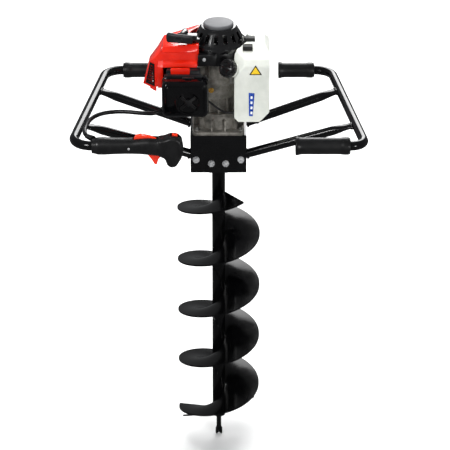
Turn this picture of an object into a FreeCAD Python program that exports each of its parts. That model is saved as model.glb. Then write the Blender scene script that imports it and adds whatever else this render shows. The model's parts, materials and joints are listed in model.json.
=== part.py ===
import FreeCAD, Part
import math
import os

# Two-man petrol auger: an engine with an upright crankshaft on a tube frame, driving an earth bit.
# Millimetres. +Z up, the pilot point's tip at z = 0, the crankshaft and the bit on the Z axis,
# +X towards the fuel tank, +Y towards the muffler.

V = FreeCAD.Vector
X = V(1, 0, 0)
Y = V(0, 1, 0)
Z = V(0, 0, 1)
ORIGIN = V(0, 0, 0)

# ---- driving dimensions -------------------------------------------------------------------------
BIT_RADIUS = 101.5            # an 8 inch hole
BIT_TUBE_RADIUS = 16.0
BIT_TUBE_TOP = 754.0
COUPLING_BOLT_Z = 744.0
FLIGHT_PITCH = 141.0
FLIGHT_ZERO_Z = 151.0         # height of the flighting where it crosses +X for the first time
FLIGHT_START_DEG = -191.0
FLIGHT_END_DEG = 1387.0
FLIGHT_THICKNESS = 4.0
BLADE_Z = 74.0
BLADE_DEG = 216.0             # direction of the first cutting blade

COUPLING_BOLT_RADIUS = 4.0

HANDLE_Z = 911.0
HANDLE_Y = 232.0
FRAME_TUBE_RADIUS = 11.0
FRAME_TUBE_BORE = 9.0
GRIP_RADIUS = 20.0            # the throttle handle's
NEAR_GRIP_RADIUS = 22.0
FAR_GRIP_RADIUS = 20.5
NEAR_CORNER_X = 341.0
FAR_CORNER_X = 278.0
NEAR_END_X = 178.0
FAR_END_X = 148.0
THROTTLE_TUBE_END_X = 172.0
LEFT_CORNER_RADII = [44.0, 45.0]
RIGHT_CORNER_RADII = [30.0, 45.0]

BOX_X = 67.0                  # half sizes of the mounting box
BOX_Y = 70.0
BOX_BOTTOM = 769.0
BOX_TOP = 864.0
BOX_WALL = 3.0
BOX_BOLT_RADIUS = 4.0
BOX_BOLTS = [(-53.5, 803.0), (-17.0, 793.0), (17.0, 793.0), (53.5, 803.0)]

MODULE = 1.25
WHEEL_TEETH = 50
PINION_TEETH = 10
PROFILE_SHIFT = 0.41
BACKLASH = 0.12
LAYSHAFT = V(22.5, 30.0, 0)   # 37.5 mm from the crankshaft, the centre distance of both gear pairs

OUTPUT_GEAR_Z = 786.0         # undersides of the two gear wheels
LAYSHAFT_GEAR_Z = 812.0
GEARBOX_FLOOR = 777.0

CRANK_Z = 995.0               # height of the cylinder's axis
CRANK_THROW = 17.0
ROD_LENGTH = 62.0
BORE_RADIUS = 22.0
JOURNAL_RADIUS = 7.5          # the crankshaft's
CASE_RADIUS = 44.0
CHAMBER_RADIUS = 36.5         # the crank chamber's
HEAD_X = -112.0               # the cylinder's outer end
FOOT_X = -48.0                # and its foot on the crankcase
PORT_X = -88.0                # middle of the inlet and exhaust ports
PORT_RADIUS = 8.5
OUTLET = V(-112, 80, 972)     # start of the muffler's outlet pipe
RUNNING = 0.05                # radial clearance of a running fit
CASE_BOTTOM = 905.0
FAN_FLOOR = 1042.0
FAN_RADIUS = 68.0
STARTER_FLOOR = 1072.0
STARTER_RADIUS = 69.0
DISC_BOTTOM = 1119.0
DISC_TOP = 1127.5

TANK_X = (37.0, 120.0)
TANK_Y = (-97.0, 38.0)
TANK_Z = (912.0, 1090.0)
TANK_WALL = 2.6
HOSE_OUTLET = V(30, -78, 930)
STARTER_GRIP = V(-90.0, -84.0, 1118.0)
PULL_DEG = 254.4              # heading of the starter rope
CAP_CENTRE = V(22.0, -92.0, 1047.0)
CAP_AXIS = V(-0.632, -0.632, 0.449)
CAP_LENGTH = 20.0
SHOULDER = V(37.0, -97.0, 1020.0)   # a point on the tank's slanted shoulder, square to CAP_AXIS
CABLE_RADIUS = 5.0
HOSE_RADIUS = 2.5
LEAD_RADIUS = 3.5
FACET_START = V(-146.0, -64.0, 0)      # the cylinder cover's slanted front left facet, seen from above
FACET_ALONG = V(-0.661, 0.751, 0)
FACET_OUT = V(-0.751, -0.661, 0)
FILTER_X = (-132.0, -23.0)    # the air filter cover's sides
FILTER_Z = (938.0, 1028.0)    # and its bottom and top
KNOB = (-70.0, 977.0)         # x and z of the air filter's knob

# Ball bearings: outer radius, shaft radius, a point on the shaft, underside and height.
BEARINGS = [(21.0, 10.0, ORIGIN, 760.0, 10.0), (21.0, 10.0, ORIGIN, 771.0, 6.0),
            (13.0, 5.0, LAYSHAFT, GEARBOX_FLOOR, 7.0), (13.0, 5.0, LAYSHAFT, 844.0, 8.0),
            (13.0, 5.0, ORIGIN, 846.0, 12.0),
            (17.5, JOURNAL_RADIUS, ORIGIN, 950.0, 14.0), (17.5, JOURNAL_RADIUS, ORIGIN, 1024.0, 12.0)]

# Hinge pins of the trigger, the safety lever and the stop switch: radius, x, z and half length.
HINGE_PINS = [(1.9, -131.0, 897.0, 5.5), (1.5, -189.5, 929.0, 6.5), (1.2, -100.0, 934.0, 6.0)]

# Route of the throttle cable's conduit, from the handle's rear end along the loop to the carburettor.
CABLE = [V(-288, -224, 925), V(-303, -208, 925), V(-311, -184, 922), V(-311, -152, 922),
         V(-304, -120, 926), V(-286, -94, 930), V(-256, -80, 931), V(-222, -84, 934),
         V(-178, -95, 934), V(-146, -93, 932), V(-124, -76, 944), V(-112, -64, 966)]
# Routes of the petrol hose, from the tank to the carburettor, and of the spark plug's lead.
FUEL_LINE = [V(42, -78, 930), V(24, -78, 926), V(2, -74, 934),
             V(-18, -70, 950), V(-42, -66, 966), V(-64, -62, 974)]
LEAD = [V(-78, 22, 1043), V(-92, 20, 1051), V(-112, 8, 1052),
        V(-132, -4, 1040), V(-144, -3, 1020), V(-146, 0, 998)]


# ---- helpers ------------------------------------------------------------------------------------
def rod(radius, start, direction, length):
    return Part.makeCylinder(radius, length, start, direction)


def ring(outer, inner, start, direction, length):
    return rod(outer, start, direction, length).cut(rod(inner, start, direction, length))


def block(x0, x1, y0, y1, z0, z1):
    return Part.makeBox(x1 - x0, y1 - y0, z1 - z0, V(x0, y0, z0))


def polygon_prism(points, along):
    return Part.Face(Part.makePolygon(points + [points[0]])).extrude(along)


def joined(first, *others):
    shape = first.multiFuse(list(others)) if others else first
    return shape.removeSplitter()


def turned(shape, centre, axis, degrees):
    copy = shape.copy()
    copy.rotate(centre, axis, degrees)
    return copy


def moved(shape, offset):
    copy = shape.copy()
    copy.translate(offset)
    return copy


def mirrored_x(shape):
    return shape.mirror(ORIGIN, X)


def revolved(profile, centre=ORIGIN, axis=Z):
    """Turns a closed outline of (radius, height) points about the Z axis."""
    points = [V(r, 0, z) for r, z in profile]
    return Part.Face(Part.makePolygon(points + [points[0]])).revolve(centre, axis, 360)


def rounded_block(x0, x1, y0, y1, z0, z1, radius, along="y"):
    """A block whose four edges along one axis are rounded."""
    shape = block(x0, x1, y0, y1, z0, z1)
    index = "xyz".index(along)
    edges = [e for e in shape.Edges if abs(e.tangentAt(e.FirstParameter)[index]) > 0.9]
    return shape.makeFillet(radius, edges)


def route(points, radii):
    """Straight runs joined by tangent arcs, as one wire."""
    edges = []
    last = points[0]
    for i in range(1, len(points) - 1):
        corner = points[i]
        back = (points[i - 1] - corner).normalize()
        ahead = (points[i + 1] - corner).normalize()
        half_turn = (math.pi - back.getAngle(ahead)) / 2
        reach = radii[i - 1] * math.tan(half_turn)
        begin = corner + back * reach
        end = corner + ahead * reach
        inward = (back + ahead).normalize()
        middle = corner + inward * (radii[i - 1] / math.cos(half_turn) - radii[i - 1])
        if (begin - last).Length > 1e-6:
            edges.append(Part.LineSegment(last, begin).toShape())
        edges.append(Part.Arc(begin, middle, end).toShape())
        last = end
    edges.append(Part.LineSegment(last, points[-1]).toShape())
    return Part.Wire(edges)


def tube(wire, radius):
    edge = wire.Edges[0]
    start = edge.valueAt(edge.FirstParameter)
    heading = edge.tangentAt(edge.FirstParameter)
    section = Part.Wire(Part.makeCircle(radius, start, heading))
    return wire.makePipeShell([section], True, False)


def cord(name, points, radius):
    """A cord's tube with arcs as large as its runs allow; prints its radii and checks its volume."""
    radii = []
    for before, corner, after in zip(points, points[1:], points[2:]):
        turn = math.pi - (before - corner).getAngle(after - corner)
        shorter = min((before - corner).Length, (after - corner).Length)
        radii.append(0.45 * shorter / math.tan(turn / 2))
    wire = route(points, radii)
    shape = tube(wire, radius)
    ideal = math.pi * radius * radius * wire.Length
    print(name, "length", round(wire.Length), "radii", [round(r) for r in radii],
          "volume ratio", round(shape.Volume / ideal, 4))
    return shape


def hex_head(start, direction, across, height):
    """A hexagonal head standing on start."""
    points = []
    side = X if abs(direction.x) < 0.9 else Z
    u = direction.cross(side).normalize()
    w = direction.cross(u).normalize()
    corner = across / math.sqrt(3)
    for i in range(6):
        a = math.radians(60 * i)
        points.append(start + u * (corner * math.cos(a)) + w * (corner * math.sin(a)))
    return polygon_prism(points, direction * height)


def involute(angle):
    return math.tan(angle) - angle


def gear(teeth, shift, centre, tooth_deg, z0, z1, bore):
    """A spur gear with one tooth pointing at tooth_deg and flanks of a few flat facets."""
    pitch = MODULE * teeth / 2
    base = pitch * math.cos(math.radians(20))
    tip = pitch + MODULE * (1 + shift)
    root = pitch + MODULE * (shift - 1.25)
    at_pitch = (math.pi / 2 + 2 * shift * math.tan(math.radians(20))) / teeth - BACKLASH / 2 / pitch
    facets = 4
    start = max(base, root)
    flank = []
    for k in range(facets + 1):
        r = start + (tip - start) * k / facets
        half = at_pitch + involute(math.radians(20)) - involute(math.acos(min(1, base / r)))
        flank.append((r, half))
    if root < base:
        flank.insert(0, (root, flank[0][1]))
    points = []
    for i in range(teeth):
        middle = math.radians(tooth_deg) + 2 * math.pi * i / teeth
        outline = [(r, -h) for r, h in flank] + [(r, h) for r, h in reversed(flank)]
        for r, a in outline:
            points.append(centre + V(r * math.cos(middle + a), r * math.sin(middle + a), z0))
    shape = polygon_prism(points, Z * (z1 - z0))
    if bore:
        shape = shape.cut(rod(bore, centre + Z * z0, Z, z1 - z0))
    return shape


parts = {}


# ---- the bit, its output shaft and the last gear: everything that turns with the hole ------------
def build_bit():
    wall = ring(BIT_TUBE_RADIUS, 12.5, V(0, 0, 58), Z, 632)
    socket = ring(BIT_TUBE_RADIUS, 10, V(0, 0, 690), Z, BIT_TUBE_TOP - 690)
    bolt_hole = rod(COUPLING_BOLT_RADIUS, V(-20, 0, COUPLING_BOLT_Z), X, 40)
    parts["bit_tube"] = joined(wall, socket).cut(bolt_hole)
    parts["flighting"] = build_flighting()
    parts["cutting_blades"], parts["bit_bolts"] = build_blades()

    spigot = rod(12.5, V(0, 0, 58), Z, 22)
    shank = rod(6, V(0, 0, 20), Z, 38)
    spade = polygon_prism([V(-8.5, -4, 3), V(-6, -4, 0), V(0, -4, 6), V(6, -4, 0), V(8.5, -4, 3),
                           V(8.5, -4, 14), V(5, -4, 22), V(-5, -4, 22), V(-8.5, -4, 14)], Y * 8)
    parts["pilot_point"] = joined(spigot, shank, spade)

    shaft = joined(rod(10, V(0, 0, 694), Z, 106), ring(13, 10, V(0, 0, 783.5), Z, 2.5))
    parts["output_shaft"] = shaft.cut(bolt_hole)
    axis_deg = math.degrees(math.atan2(LAYSHAFT.y, LAYSHAFT.x))
    half_tooth = 180 / WHEEL_TEETH
    parts["output_gear"] = gear(WHEEL_TEETH, -PROFILE_SHIFT, ORIGIN, axis_deg + half_tooth,
                                OUTPUT_GEAR_Z, OUTPUT_GEAR_Z + 14, 10)


def build_flighting():
    """A right-hand helicoid plate, built in short spans whose faces are sewn into one solid."""
    total = math.radians(FLIGHT_END_DEG - FLIGHT_START_DEG)
    spans = 20
    step = total / spans
    faces = []

    def edge(radius, index, lift):
        points = []
        for k in range(9):
            a = math.radians(FLIGHT_START_DEG) + step * (index + k / 8)
            z = FLIGHT_ZERO_Z + FLIGHT_PITCH * a / (2 * math.pi) + lift
            points.append(V(radius * math.cos(a), radius * math.sin(a), z))
        curve = Part.BSplineCurve()
        curve.interpolate(points)
        return curve.toShape()

    half = FLIGHT_THICKNESS / 2
    for i in range(spans):
        rails = [edge(BIT_TUBE_RADIUS, i, -half), edge(BIT_RADIUS, i, -half),
                 edge(BIT_RADIUS, i, half), edge(BIT_TUBE_RADIUS, i, half)]
        for k in range(4):
            faces.append(Part.makeRuledSurface(rails[k], rails[(k + 1) % 4]))
        for index, end in ((0, 0), (spans - 1, -1)):
            if i == index:
                corners = [r.Vertexes[end].Point for r in rails]
                faces.append(Part.Face(Part.makePolygon(corners + [corners[0]])))
    shell = Part.makeShell(faces)
    shell.sewShape()
    solid = Part.makeSolid(shell)
    if solid.Volume < 0:
        solid.reverse()
    return solid


def build_blades():
    """Two hard blades on welded holders, half a turn apart, their outer ends swept up like a gull's wing."""
    blades = []
    bolts = []
    for degrees in (BLADE_DEG, BLADE_DEG + 180):
        inner = polygon_prism([V(15, -15, -8), V(15, 13, 6), V(15, 15, 11), V(15, -15, -3)], X * 45)
        outer = polygon_prism([V(58, -15, -8), V(58, 13, 6), V(58, 15, 11), V(58, -15, -3)],
                              V(BIT_RADIUS - 58, 0, 12))
        wing = joined(inner, outer)
        bolt = joined(rod(3, V(38, -2, -8), Z, 18), hex_head(V(38, -2, 7), Z, 10, 5))
        wing = wing.cut([bolt, rod(BIT_TUBE_RADIUS, Z * -20, Z, 50)])
        for shape, group in ((wing, blades), (bolt, bolts)):
            group.append(moved(turned(shape, ORIGIN, Z, degrees), V(0, 0, BLADE_Z)))
    cross = joined(rod(COUPLING_BOLT_RADIUS, V(-19, 0, COUPLING_BOLT_Z), X, 38),
                   hex_head(V(16, 0, COUPLING_BOLT_Z), X, 13, 5.5),
                   hex_head(V(-22.5, 0, COUPLING_BOLT_Z), X, 13, 6.5))
    rim = BIT_TUBE_RADIUS
    cross = cross.cut(ring(30, rim, V(0, 0, 730), Z, 30).common(block(-rim, rim, -20, 20, 730, 755)))
    bolts.append(cross)
    return Part.makeCompound(blades), Part.makeCompound(bolts)


# ---- the reduction gearbox inside the mounting box ----------------------------------------------
def egg(grow, z0, z1):
    """The gearbox outline: two circles, about the crankshaft and the layshaft, and their common tangents."""
    big = 38.0 + grow
    small = 36.5 + grow
    gap = LAYSHAFT.Length
    lean = math.acos((big - small) / gap)
    heading = math.atan2(LAYSHAFT.y, LAYSHAFT.x)
    corners = []
    for sign in (1, -1):
        a = heading + sign * lean
        out = V(math.cos(a), math.sin(a), 0)
        pair = [out * big, LAYSHAFT + out * small]
        corners += pair if sign == 1 else pair[::-1]
    middle = polygon_prism([c + Z * z0 for c in corners], Z * (z1 - z0))
    return joined(middle, rod(big, Z * z0, Z, z1 - z0), rod(small, LAYSHAFT + Z * z0, Z, z1 - z0))


def build_gearbox():
    below = LAYSHAFT + Z * GEARBOX_FLOOR
    floor = joined(egg(0, GEARBOX_FLOOR - 5, GEARBOX_FLOOR), rod(27, Z * 757, Z, 20), rod(16, below, Z, 7))
    seats = [rod(21, Z * 760, Z, 17), rod(12, Z * 757, Z, 3), rod(13, below, Z, 7)]
    parts["gearbox_cover"] = floor.cut(seats)

    pads = [block(-60, 60, -66.5, -28, 783, 813), block(-60, 60, 28, 66.5, 783, 813)]
    shell = joined(egg(0, GEARBOX_FLOOR, BOX_TOP - BOX_WALL), *pads)
    hollow = egg(-3.5, GEARBOX_FLOOR, 853)
    case = shell.cut(hollow)
    case = joined(case, rod(17, LAYSHAFT + Z * 844, Z, 9), rod(17, Z * 846, Z, 16))
    seats = [rod(13, LAYSHAFT + Z * 844, Z, 8), rod(13, Z * 846, Z, 12), rod(6, Z * 845, Z, 20)]
    bolt_holes = [rod(BOX_BOLT_RADIUS, V(x, -80, z), Y, 160) for x, z in BOX_BOLTS]
    room = hollow.common(block(-70, 70, -70, 70, GEARBOX_FLOOR, 840))
    parts["gearbox_case"] = case.cut(seats + bolt_holes + [room])

    centre_deg = math.degrees(math.atan2(LAYSHAFT.y, LAYSHAFT.x))
    half_wheel = 180 / WHEEL_TEETH
    pinion = gear(PINION_TEETH, PROFILE_SHIFT, LAYSHAFT, centre_deg + 180,
                  OUTPUT_GEAR_Z, OUTPUT_GEAR_Z + 14, 0)
    parts["layshaft"] = joined(pinion, rod(5, LAYSHAFT + Z * (GEARBOX_FLOOR + 0.5), Z, 73.5))
    parts["layshaft_gear"] = gear(WHEEL_TEETH, -PROFILE_SHIFT, LAYSHAFT, centre_deg + 180 + half_wheel,
                                  LAYSHAFT_GEAR_Z, LAYSHAFT_GEAR_Z + 12, 5)

    drum = revolved([(0, 868), (39, 868), (39, 892), (36.5, 892), (36.5, 871), (0, 871)])
    input_pinion = gear(PINION_TEETH, PROFILE_SHIFT, ORIGIN, centre_deg,
                        LAYSHAFT_GEAR_Z - 1, LAYSHAFT_GEAR_Z + 13, 0)
    parts["clutch_drum"] = joined(drum, input_pinion, rod(5, Z * 808, Z, 61))

    bearings = [ring(outer, shaft + RUNNING, middle + Z * z, Z, height)
                for outer, shaft, middle, z, height in BEARINGS]
    parts["ball_bearings"] = Part.makeCompound(bearings)


# ---- the frame ----------------------------------------------------------------------------------
def handle_loop(side, near_end_x):
    points = [V(side * near_end_x, -HANDLE_Y, HANDLE_Z), V(side * NEAR_CORNER_X, -HANDLE_Y, HANDLE_Z),
              V(side * FAR_CORNER_X, HANDLE_Y, HANDLE_Z), V(side * FAR_END_X, HANDLE_Y, HANDLE_Z)]
    wire = route(points, RIGHT_CORNER_RADII if side > 0 else LEFT_CORNER_RADII)
    return tube(wire, FRAME_TUBE_RADIUS).cut(tube(wire, FRAME_TUBE_BORE))


def brace(side, start, end):
    a = V(side * start[0], start[1], start[2])
    b = V(side * end[0], end[1], end[2])
    return rod(FRAME_TUBE_RADIUS, a, b - a, (b - a).Length)


def rubber_grip(side, x0, x1, y, flare):
    """A moulded rubber sleeve with a flared open end and a collar at the other."""
    inner = FRAME_TUBE_RADIUS
    length = x1 - x0
    body = flare - 2.2
    outline = [(inner, 0), (flare, 0), (flare, 5), (body, 10), (body, length - 24),
               (body + 0.8, length - 16), (body + 0.8, length - 4), (body - 1.6, length), (inner, length)]
    shape = revolved(outline)
    shape.rotate(ORIGIN, Y, 90)
    shape.translate(V(x0, y, HANDLE_Z))
    return mirrored_x(shape) if side < 0 else shape


def build_frame():
    parts["handle_loop_right"] = handle_loop(1, NEAR_END_X)
    parts["handle_loop_left"] = handle_loop(-1, THROTTLE_TUBE_END_X)
    web_lean = (NEAR_CORNER_X - FAR_CORNER_X) / (2 * HANDLE_Y)
    braces = []
    for side in (1, -1):
        for y_box, z_box, y_web in ((-57, 813, -108), (50, 848, 103)):
            x_web = NEAR_CORNER_X - (y_web + HANDLE_Y) * web_lean
            braces.append(brace(side, (BOX_X, y_box, z_box), (x_web, y_web, HANDLE_Z)))
    webs = []
    for side in (1, -1):
        near = V(side * NEAR_CORNER_X, -HANDLE_Y, HANDLE_Z)
        far = V(side * FAR_CORNER_X, HANDLE_Y, HANDLE_Z)
        webs.append(rod(FRAME_TUBE_RADIUS, near, far - near, (far - near).Length))
    box = block(-BOX_X, BOX_X, -BOX_Y, BOX_Y, BOX_BOTTOM, BOX_TOP)
    tubes = [max(b.cut(webs + [box]).Solids, key=lambda s: s.Volume) for b in braces]
    parts["brace_tubes"] = Part.makeCompound(tubes)

    upright = [e for e in box.Edges if abs(e.tangentAt(0).z) > 0.9]
    box = box.makeFillet(3.2, upright)
    inside = block(-BOX_X + BOX_WALL, BOX_X - BOX_WALL, -BOX_Y + BOX_WALL, BOX_Y - BOX_WALL,
                   BOX_BOTTOM - 1, BOX_TOP - BOX_WALL)
    box = box.cut(inside).cut(rod(17, Z * 850, Z, 30))
    for x, z in BOX_BOLTS:
        box = box.cut(rod(BOX_BOLT_RADIUS, V(x, -80, z), Y, 160))
    parts["mounting_box"] = box

    bolts = []
    for x, z in BOX_BOLTS:
        for y, out in ((-BOX_Y, -1), (BOX_Y, 1)):
            face = V(x, y, z)
            washer = rod(8.2, face, Y * out, 1.5)
            head = hex_head(face + Y * (1.5 * out), Y * out, 13, 5.3)
            shank = rod(BOX_BOLT_RADIUS, face, Y * -out, 22)
            bolts.append(joined(washer, head, shank))
    screw = joined(rod(4.2, V(-33, -76, 1062), -Y, 2.8), rod(2.5, V(-33, -76, 1062), Y, 12))
    parts["hex_bolts"] = Part.makeCompound(bolts + [screw])

    parts["rubber_grips"] = Part.makeCompound([
        rubber_grip(1, NEAR_END_X, NEAR_END_X + 127, -HANDLE_Y, NEAR_GRIP_RADIUS),
        rubber_grip(1, FAR_END_X, FAR_END_X + 90, HANDLE_Y, FAR_GRIP_RADIUS),
        rubber_grip(-1, FAR_END_X, FAR_END_X + 90, HANDLE_Y, FAR_GRIP_RADIUS)])


# ---- the throttle handle ------------------------------------------------------------------------
def build_throttle():
    axis_start = V(-284, -HANDLE_Y, HANDLE_Z)
    sleeve = rod(GRIP_RADIUS, axis_start, X, 150)
    collar = rod(GRIP_RADIUS - 3, V(-292, -HANDLE_Y, HANDLE_Z), X, 12)
    y0 = -HANDLE_Y - GRIP_RADIUS
    y1 = -HANDLE_Y + GRIP_RADIUS
    outline = [V(-140, y0, 892), V(-122, y0, 884), V(-117, y0, 866), V(-108, y0, 861), V(-96, y0, 864),
               V(-84, y0, 886), V(-80, y0, 904), V(-84, y0, 930), V(-95, y0, 939), V(-112, y0, 939),
               V(-124, y0, 933), V(-140, y0, 930)]
    head = polygon_prism(outline, Y * (y1 - y0))
    handle = joined(sleeve, collar, head)
    bore = rod(FRAME_TUBE_RADIUS, V(-300, -HANDLE_Y, HANDLE_Z), X, 300 - THROTTLE_TUBE_END_X)
    trigger_room = block(-168, -126, -HANDLE_Y - 5.5, -HANDLE_Y + 5.5, 870, 905)
    lever_room = block(-197, -139, -HANDLE_Y - 6.5, -HANDLE_Y + 6.5, 922.1, 945)
    lever_room = lever_room.fuse(block(-170, -139, -HANDLE_Y - 6.5, -HANDLE_Y + 6.5, 915, 945))
    switch_room = block(-110, -90, -HANDLE_Y - 6, -HANDLE_Y + 6, 928, 942)
    cable_room = rod(CABLE_RADIUS, CABLE[0], CABLE[1] - CABLE[0], 20)
    handle = handle.cut([bore, trigger_room, lever_room, switch_room, cable_room])
    front = handle.common(block(-300, -70, y0 - 5, -HANDLE_Y, 840, 960))
    rear = handle.common(block(-300, -70, -HANDLE_Y, y1 + 5, 840, 960))
    pins = [rod(pin, V(x, -HANDLE_Y - half, z), Y, 2 * half) for pin, x, z, half in HINGE_PINS]
    parts["throttle_shell_front"] = front
    parts["throttle_shell_rear"] = joined(rear, *pins)

    lift = Y * 10
    holes = [rod(pin + RUNNING, V(x, -HANDLE_Y - 10, z), Y, 20) for pin, x, z, half in HINGE_PINS]
    trigger = polygon_prism([V(-128, 0, 900), V(-161, 0, 897), V(-162, 0, 890), V(-152, 0, 876),
                             V(-147, 0, 867), V(-142, 0, 866), V(-138, 0, 880), V(-129, 0, 890)], lift)
    trigger.translate(V(0, -HANDLE_Y - 5, 0))
    parts["throttle_trigger"] = trigger.cut(holes[0])

    lever = polygon_prism([V(-194, 0, 923.5), V(-171, 0, 926.5), V(-143, 0, 924), V(-143, 0, 929),
                           V(-158, 0, 936), V(-178, 0, 940), V(-190, 0, 937), V(-194, 0, 931)], Y * 12)
    lever.translate(V(0, -HANDLE_Y - 6, 0))
    parts["safety_lever"] = lever.cut(holes[1])
    rocker = polygon_prism([V(-107, 0, 929), V(-93, 0, 929), V(-94, 0, 941), V(-100, 0, 939.5),
                            V(-106, 0, 942)], lift)
    rocker.translate(V(0, -HANDLE_Y - 5, 0))
    parts["stop_switch"] = rocker.cut([block(-108.5, -92, -240, -220, 925, 930), holes[2]])


# ---- the engine ---------------------------------------------------------------------------------
def build_crankcase():
    base = rounded_block(-62, 62, -67, 67, BOX_TOP, 872, 10, "z")
    bowl = rod(50, Z * 872, Z, CASE_BOTTOM - 872)
    ribs = [turned(block(44, 62, -2, 2, 872, 898), ORIGIN, Z, a) for a in range(15, 375, 30)]
    housing = joined(base, bowl, *ribs)
    housing = housing.cut(rod(43, Z * 866.5, Z, 32)).cut(rod(26, Z * 898, Z, 10)).cut(rod(18, Z * 860, Z, 8))
    parts["clutch_housing"] = housing

    lower = joined(rod(50, Z * CASE_BOTTOM, Z, 6), rod(34, Z * 911, Z, 40),
                   rod(CASE_RADIUS, Z * 948, Z, CRANK_Z - 948),
                   *[turned(block(30, 43.5, -1.8, 1.8, 911, 950), ORIGIN, Z, a) for a in range(0, 360, 30)])
    lower = lower.cut([rod(17.5, Z * 950, Z, 20), rod(10, Z * 900, Z, 60)])
    upper = joined(rod(CASE_RADIUS, Z * CRANK_Z, Z, FAN_FLOOR - CRANK_Z),
                   *[turned(block(40, 46, -1.8, 1.8, 1000, 1036), ORIGIN, Z, a) for a in range(0, 360, 24)])
    upper = upper.cut([rod(17.5, Z * 1020, Z, 16), rod(10, Z * 1030, Z, 20)])
    pad = block(FOOT_X, -20, -30, 30, 963, 1027)
    mouth = rod(BORE_RADIUS + 1, V(-60, 0, CRANK_Z), X, 50)
    rod_slot = block(FOOT_X, -10, -28.5, 28.5, CRANK_Z - 6.5, CRANK_Z + 6.5)
    hollow = rod(CHAMBER_RADIUS, Z * 970, Z, 50)
    beyond = block(-80, FOOT_X, -50, 50, 940, 1050)
    for name, half, z0, z1 in (("crankcase_lower", lower, 963, CRANK_Z),
                               ("crankcase_upper", upper, CRANK_Z, 1027)):
        slab = pad.common(block(-60, 0, -40, 40, z0, z1))
        parts[name] = joined(half, slab).cut([mouth, rod_slot, hollow, beyond])


def build_crank_train():
    """Built crankshaft in two halves, opened at the crankpin, with the rod running between its webs."""
    def web(z0, z1):
        disc = rod(27, Z * z0, Z, z1 - z0)
        for y in (14, -34):
            disc = disc.cut(block(-40, -4, y, y + 20, z0, z1))
        return disc

    pin = V(-CRANK_THROW, 0, 0)
    lower = joined(rod(JOURNAL_RADIUS, Z * 874, Z, 101), web(975, 989), rod(6, pin + Z * 989, Z, 0.5))
    upper = joined(web(1001, 1015), rod(JOURNAL_RADIUS, Z * 1015, Z, 62), rod(6, pin + Z * 1000.5, Z, 0.5))
    parts["crankshaft"] = Part.makeCompound([lower, upper])

    wrist = V(-CRANK_THROW - ROD_LENGTH, 0, 0)
    shank = block(wrist.x, pin.x, -4.5, 4.5, 990, 1000)
    bar = joined(rod(10.5, pin + Z * 990, Z, 10), rod(8.5, wrist + Z * 990, Z, 10), shank)
    eyes = [rod(8, pin + Z * 990, Z, 10), rod(5 + RUNNING, wrist + Z * 990, Z, 10)]
    parts["connecting_rod"] = bar.cut(eyes)

    crown = wrist.x - 18
    axis = V(crown, 0, CRANK_Z)
    piston = rod(BORE_RADIUS - 0.08, axis, X, 32).cut(rod(18, V(crown + 6, 0, CRANK_Z), X, 30))
    grooves = [ring(BORE_RADIUS, 20.4, V(crown + k, 0, CRANK_Z), X, 1.5) for k in (2.5, 6.0)]
    bosses = [rod(8, wrist + Z * 976, Z, 10), rod(8, wrist + Z * 1004, Z, 10)]
    bosses = [b.common(rod(BORE_RADIUS - 1, axis, X, 32)) for b in bosses]
    gudgeon_pin = rod(5, wrist + Z * 976, Z, 38).common(rod(BORE_RADIUS - 1, axis, X, 32))
    parts["piston"] = joined(piston, *bosses, gudgeon_pin).cut(grooves)

    shoes = []
    for turn in (0, 180):
        shoe = ring(35.8, 22, Z * 875, Z, 14).common(block(3, 40, -30, 30, 870, 895))
        shoes.append(turned(shoe, ORIGIN, Z, turn))
    arms = block(-26, 26, -5, 5, 877, 887).cut(rod(JOURNAL_RADIUS, Z * 875, Z, 20))
    hub = ring(13, JOURNAL_RADIUS, Z * 875, Z, 14)
    parts["clutch_shoes"] = joined(hub, arms, *shoes)

    blades = [turned(block(20, 58, -1.5, 1.5, 1049, 1066), ORIGIN, Z, a) for a in range(0, 360, 24)]
    fan = joined(ring(59, JOURNAL_RADIUS, Z * 1046, Z, 4), ring(16, JOURNAL_RADIUS, Z * 1046, Z, 20), *blades)
    cup = revolved([(JOURNAL_RADIUS, 1066), (24, 1066), (24, 1074), (21.5, 1074), (21.5, 1069),
                    (JOURNAL_RADIUS, 1069)])
    parts["flywheel"] = joined(fan, cup)


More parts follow.
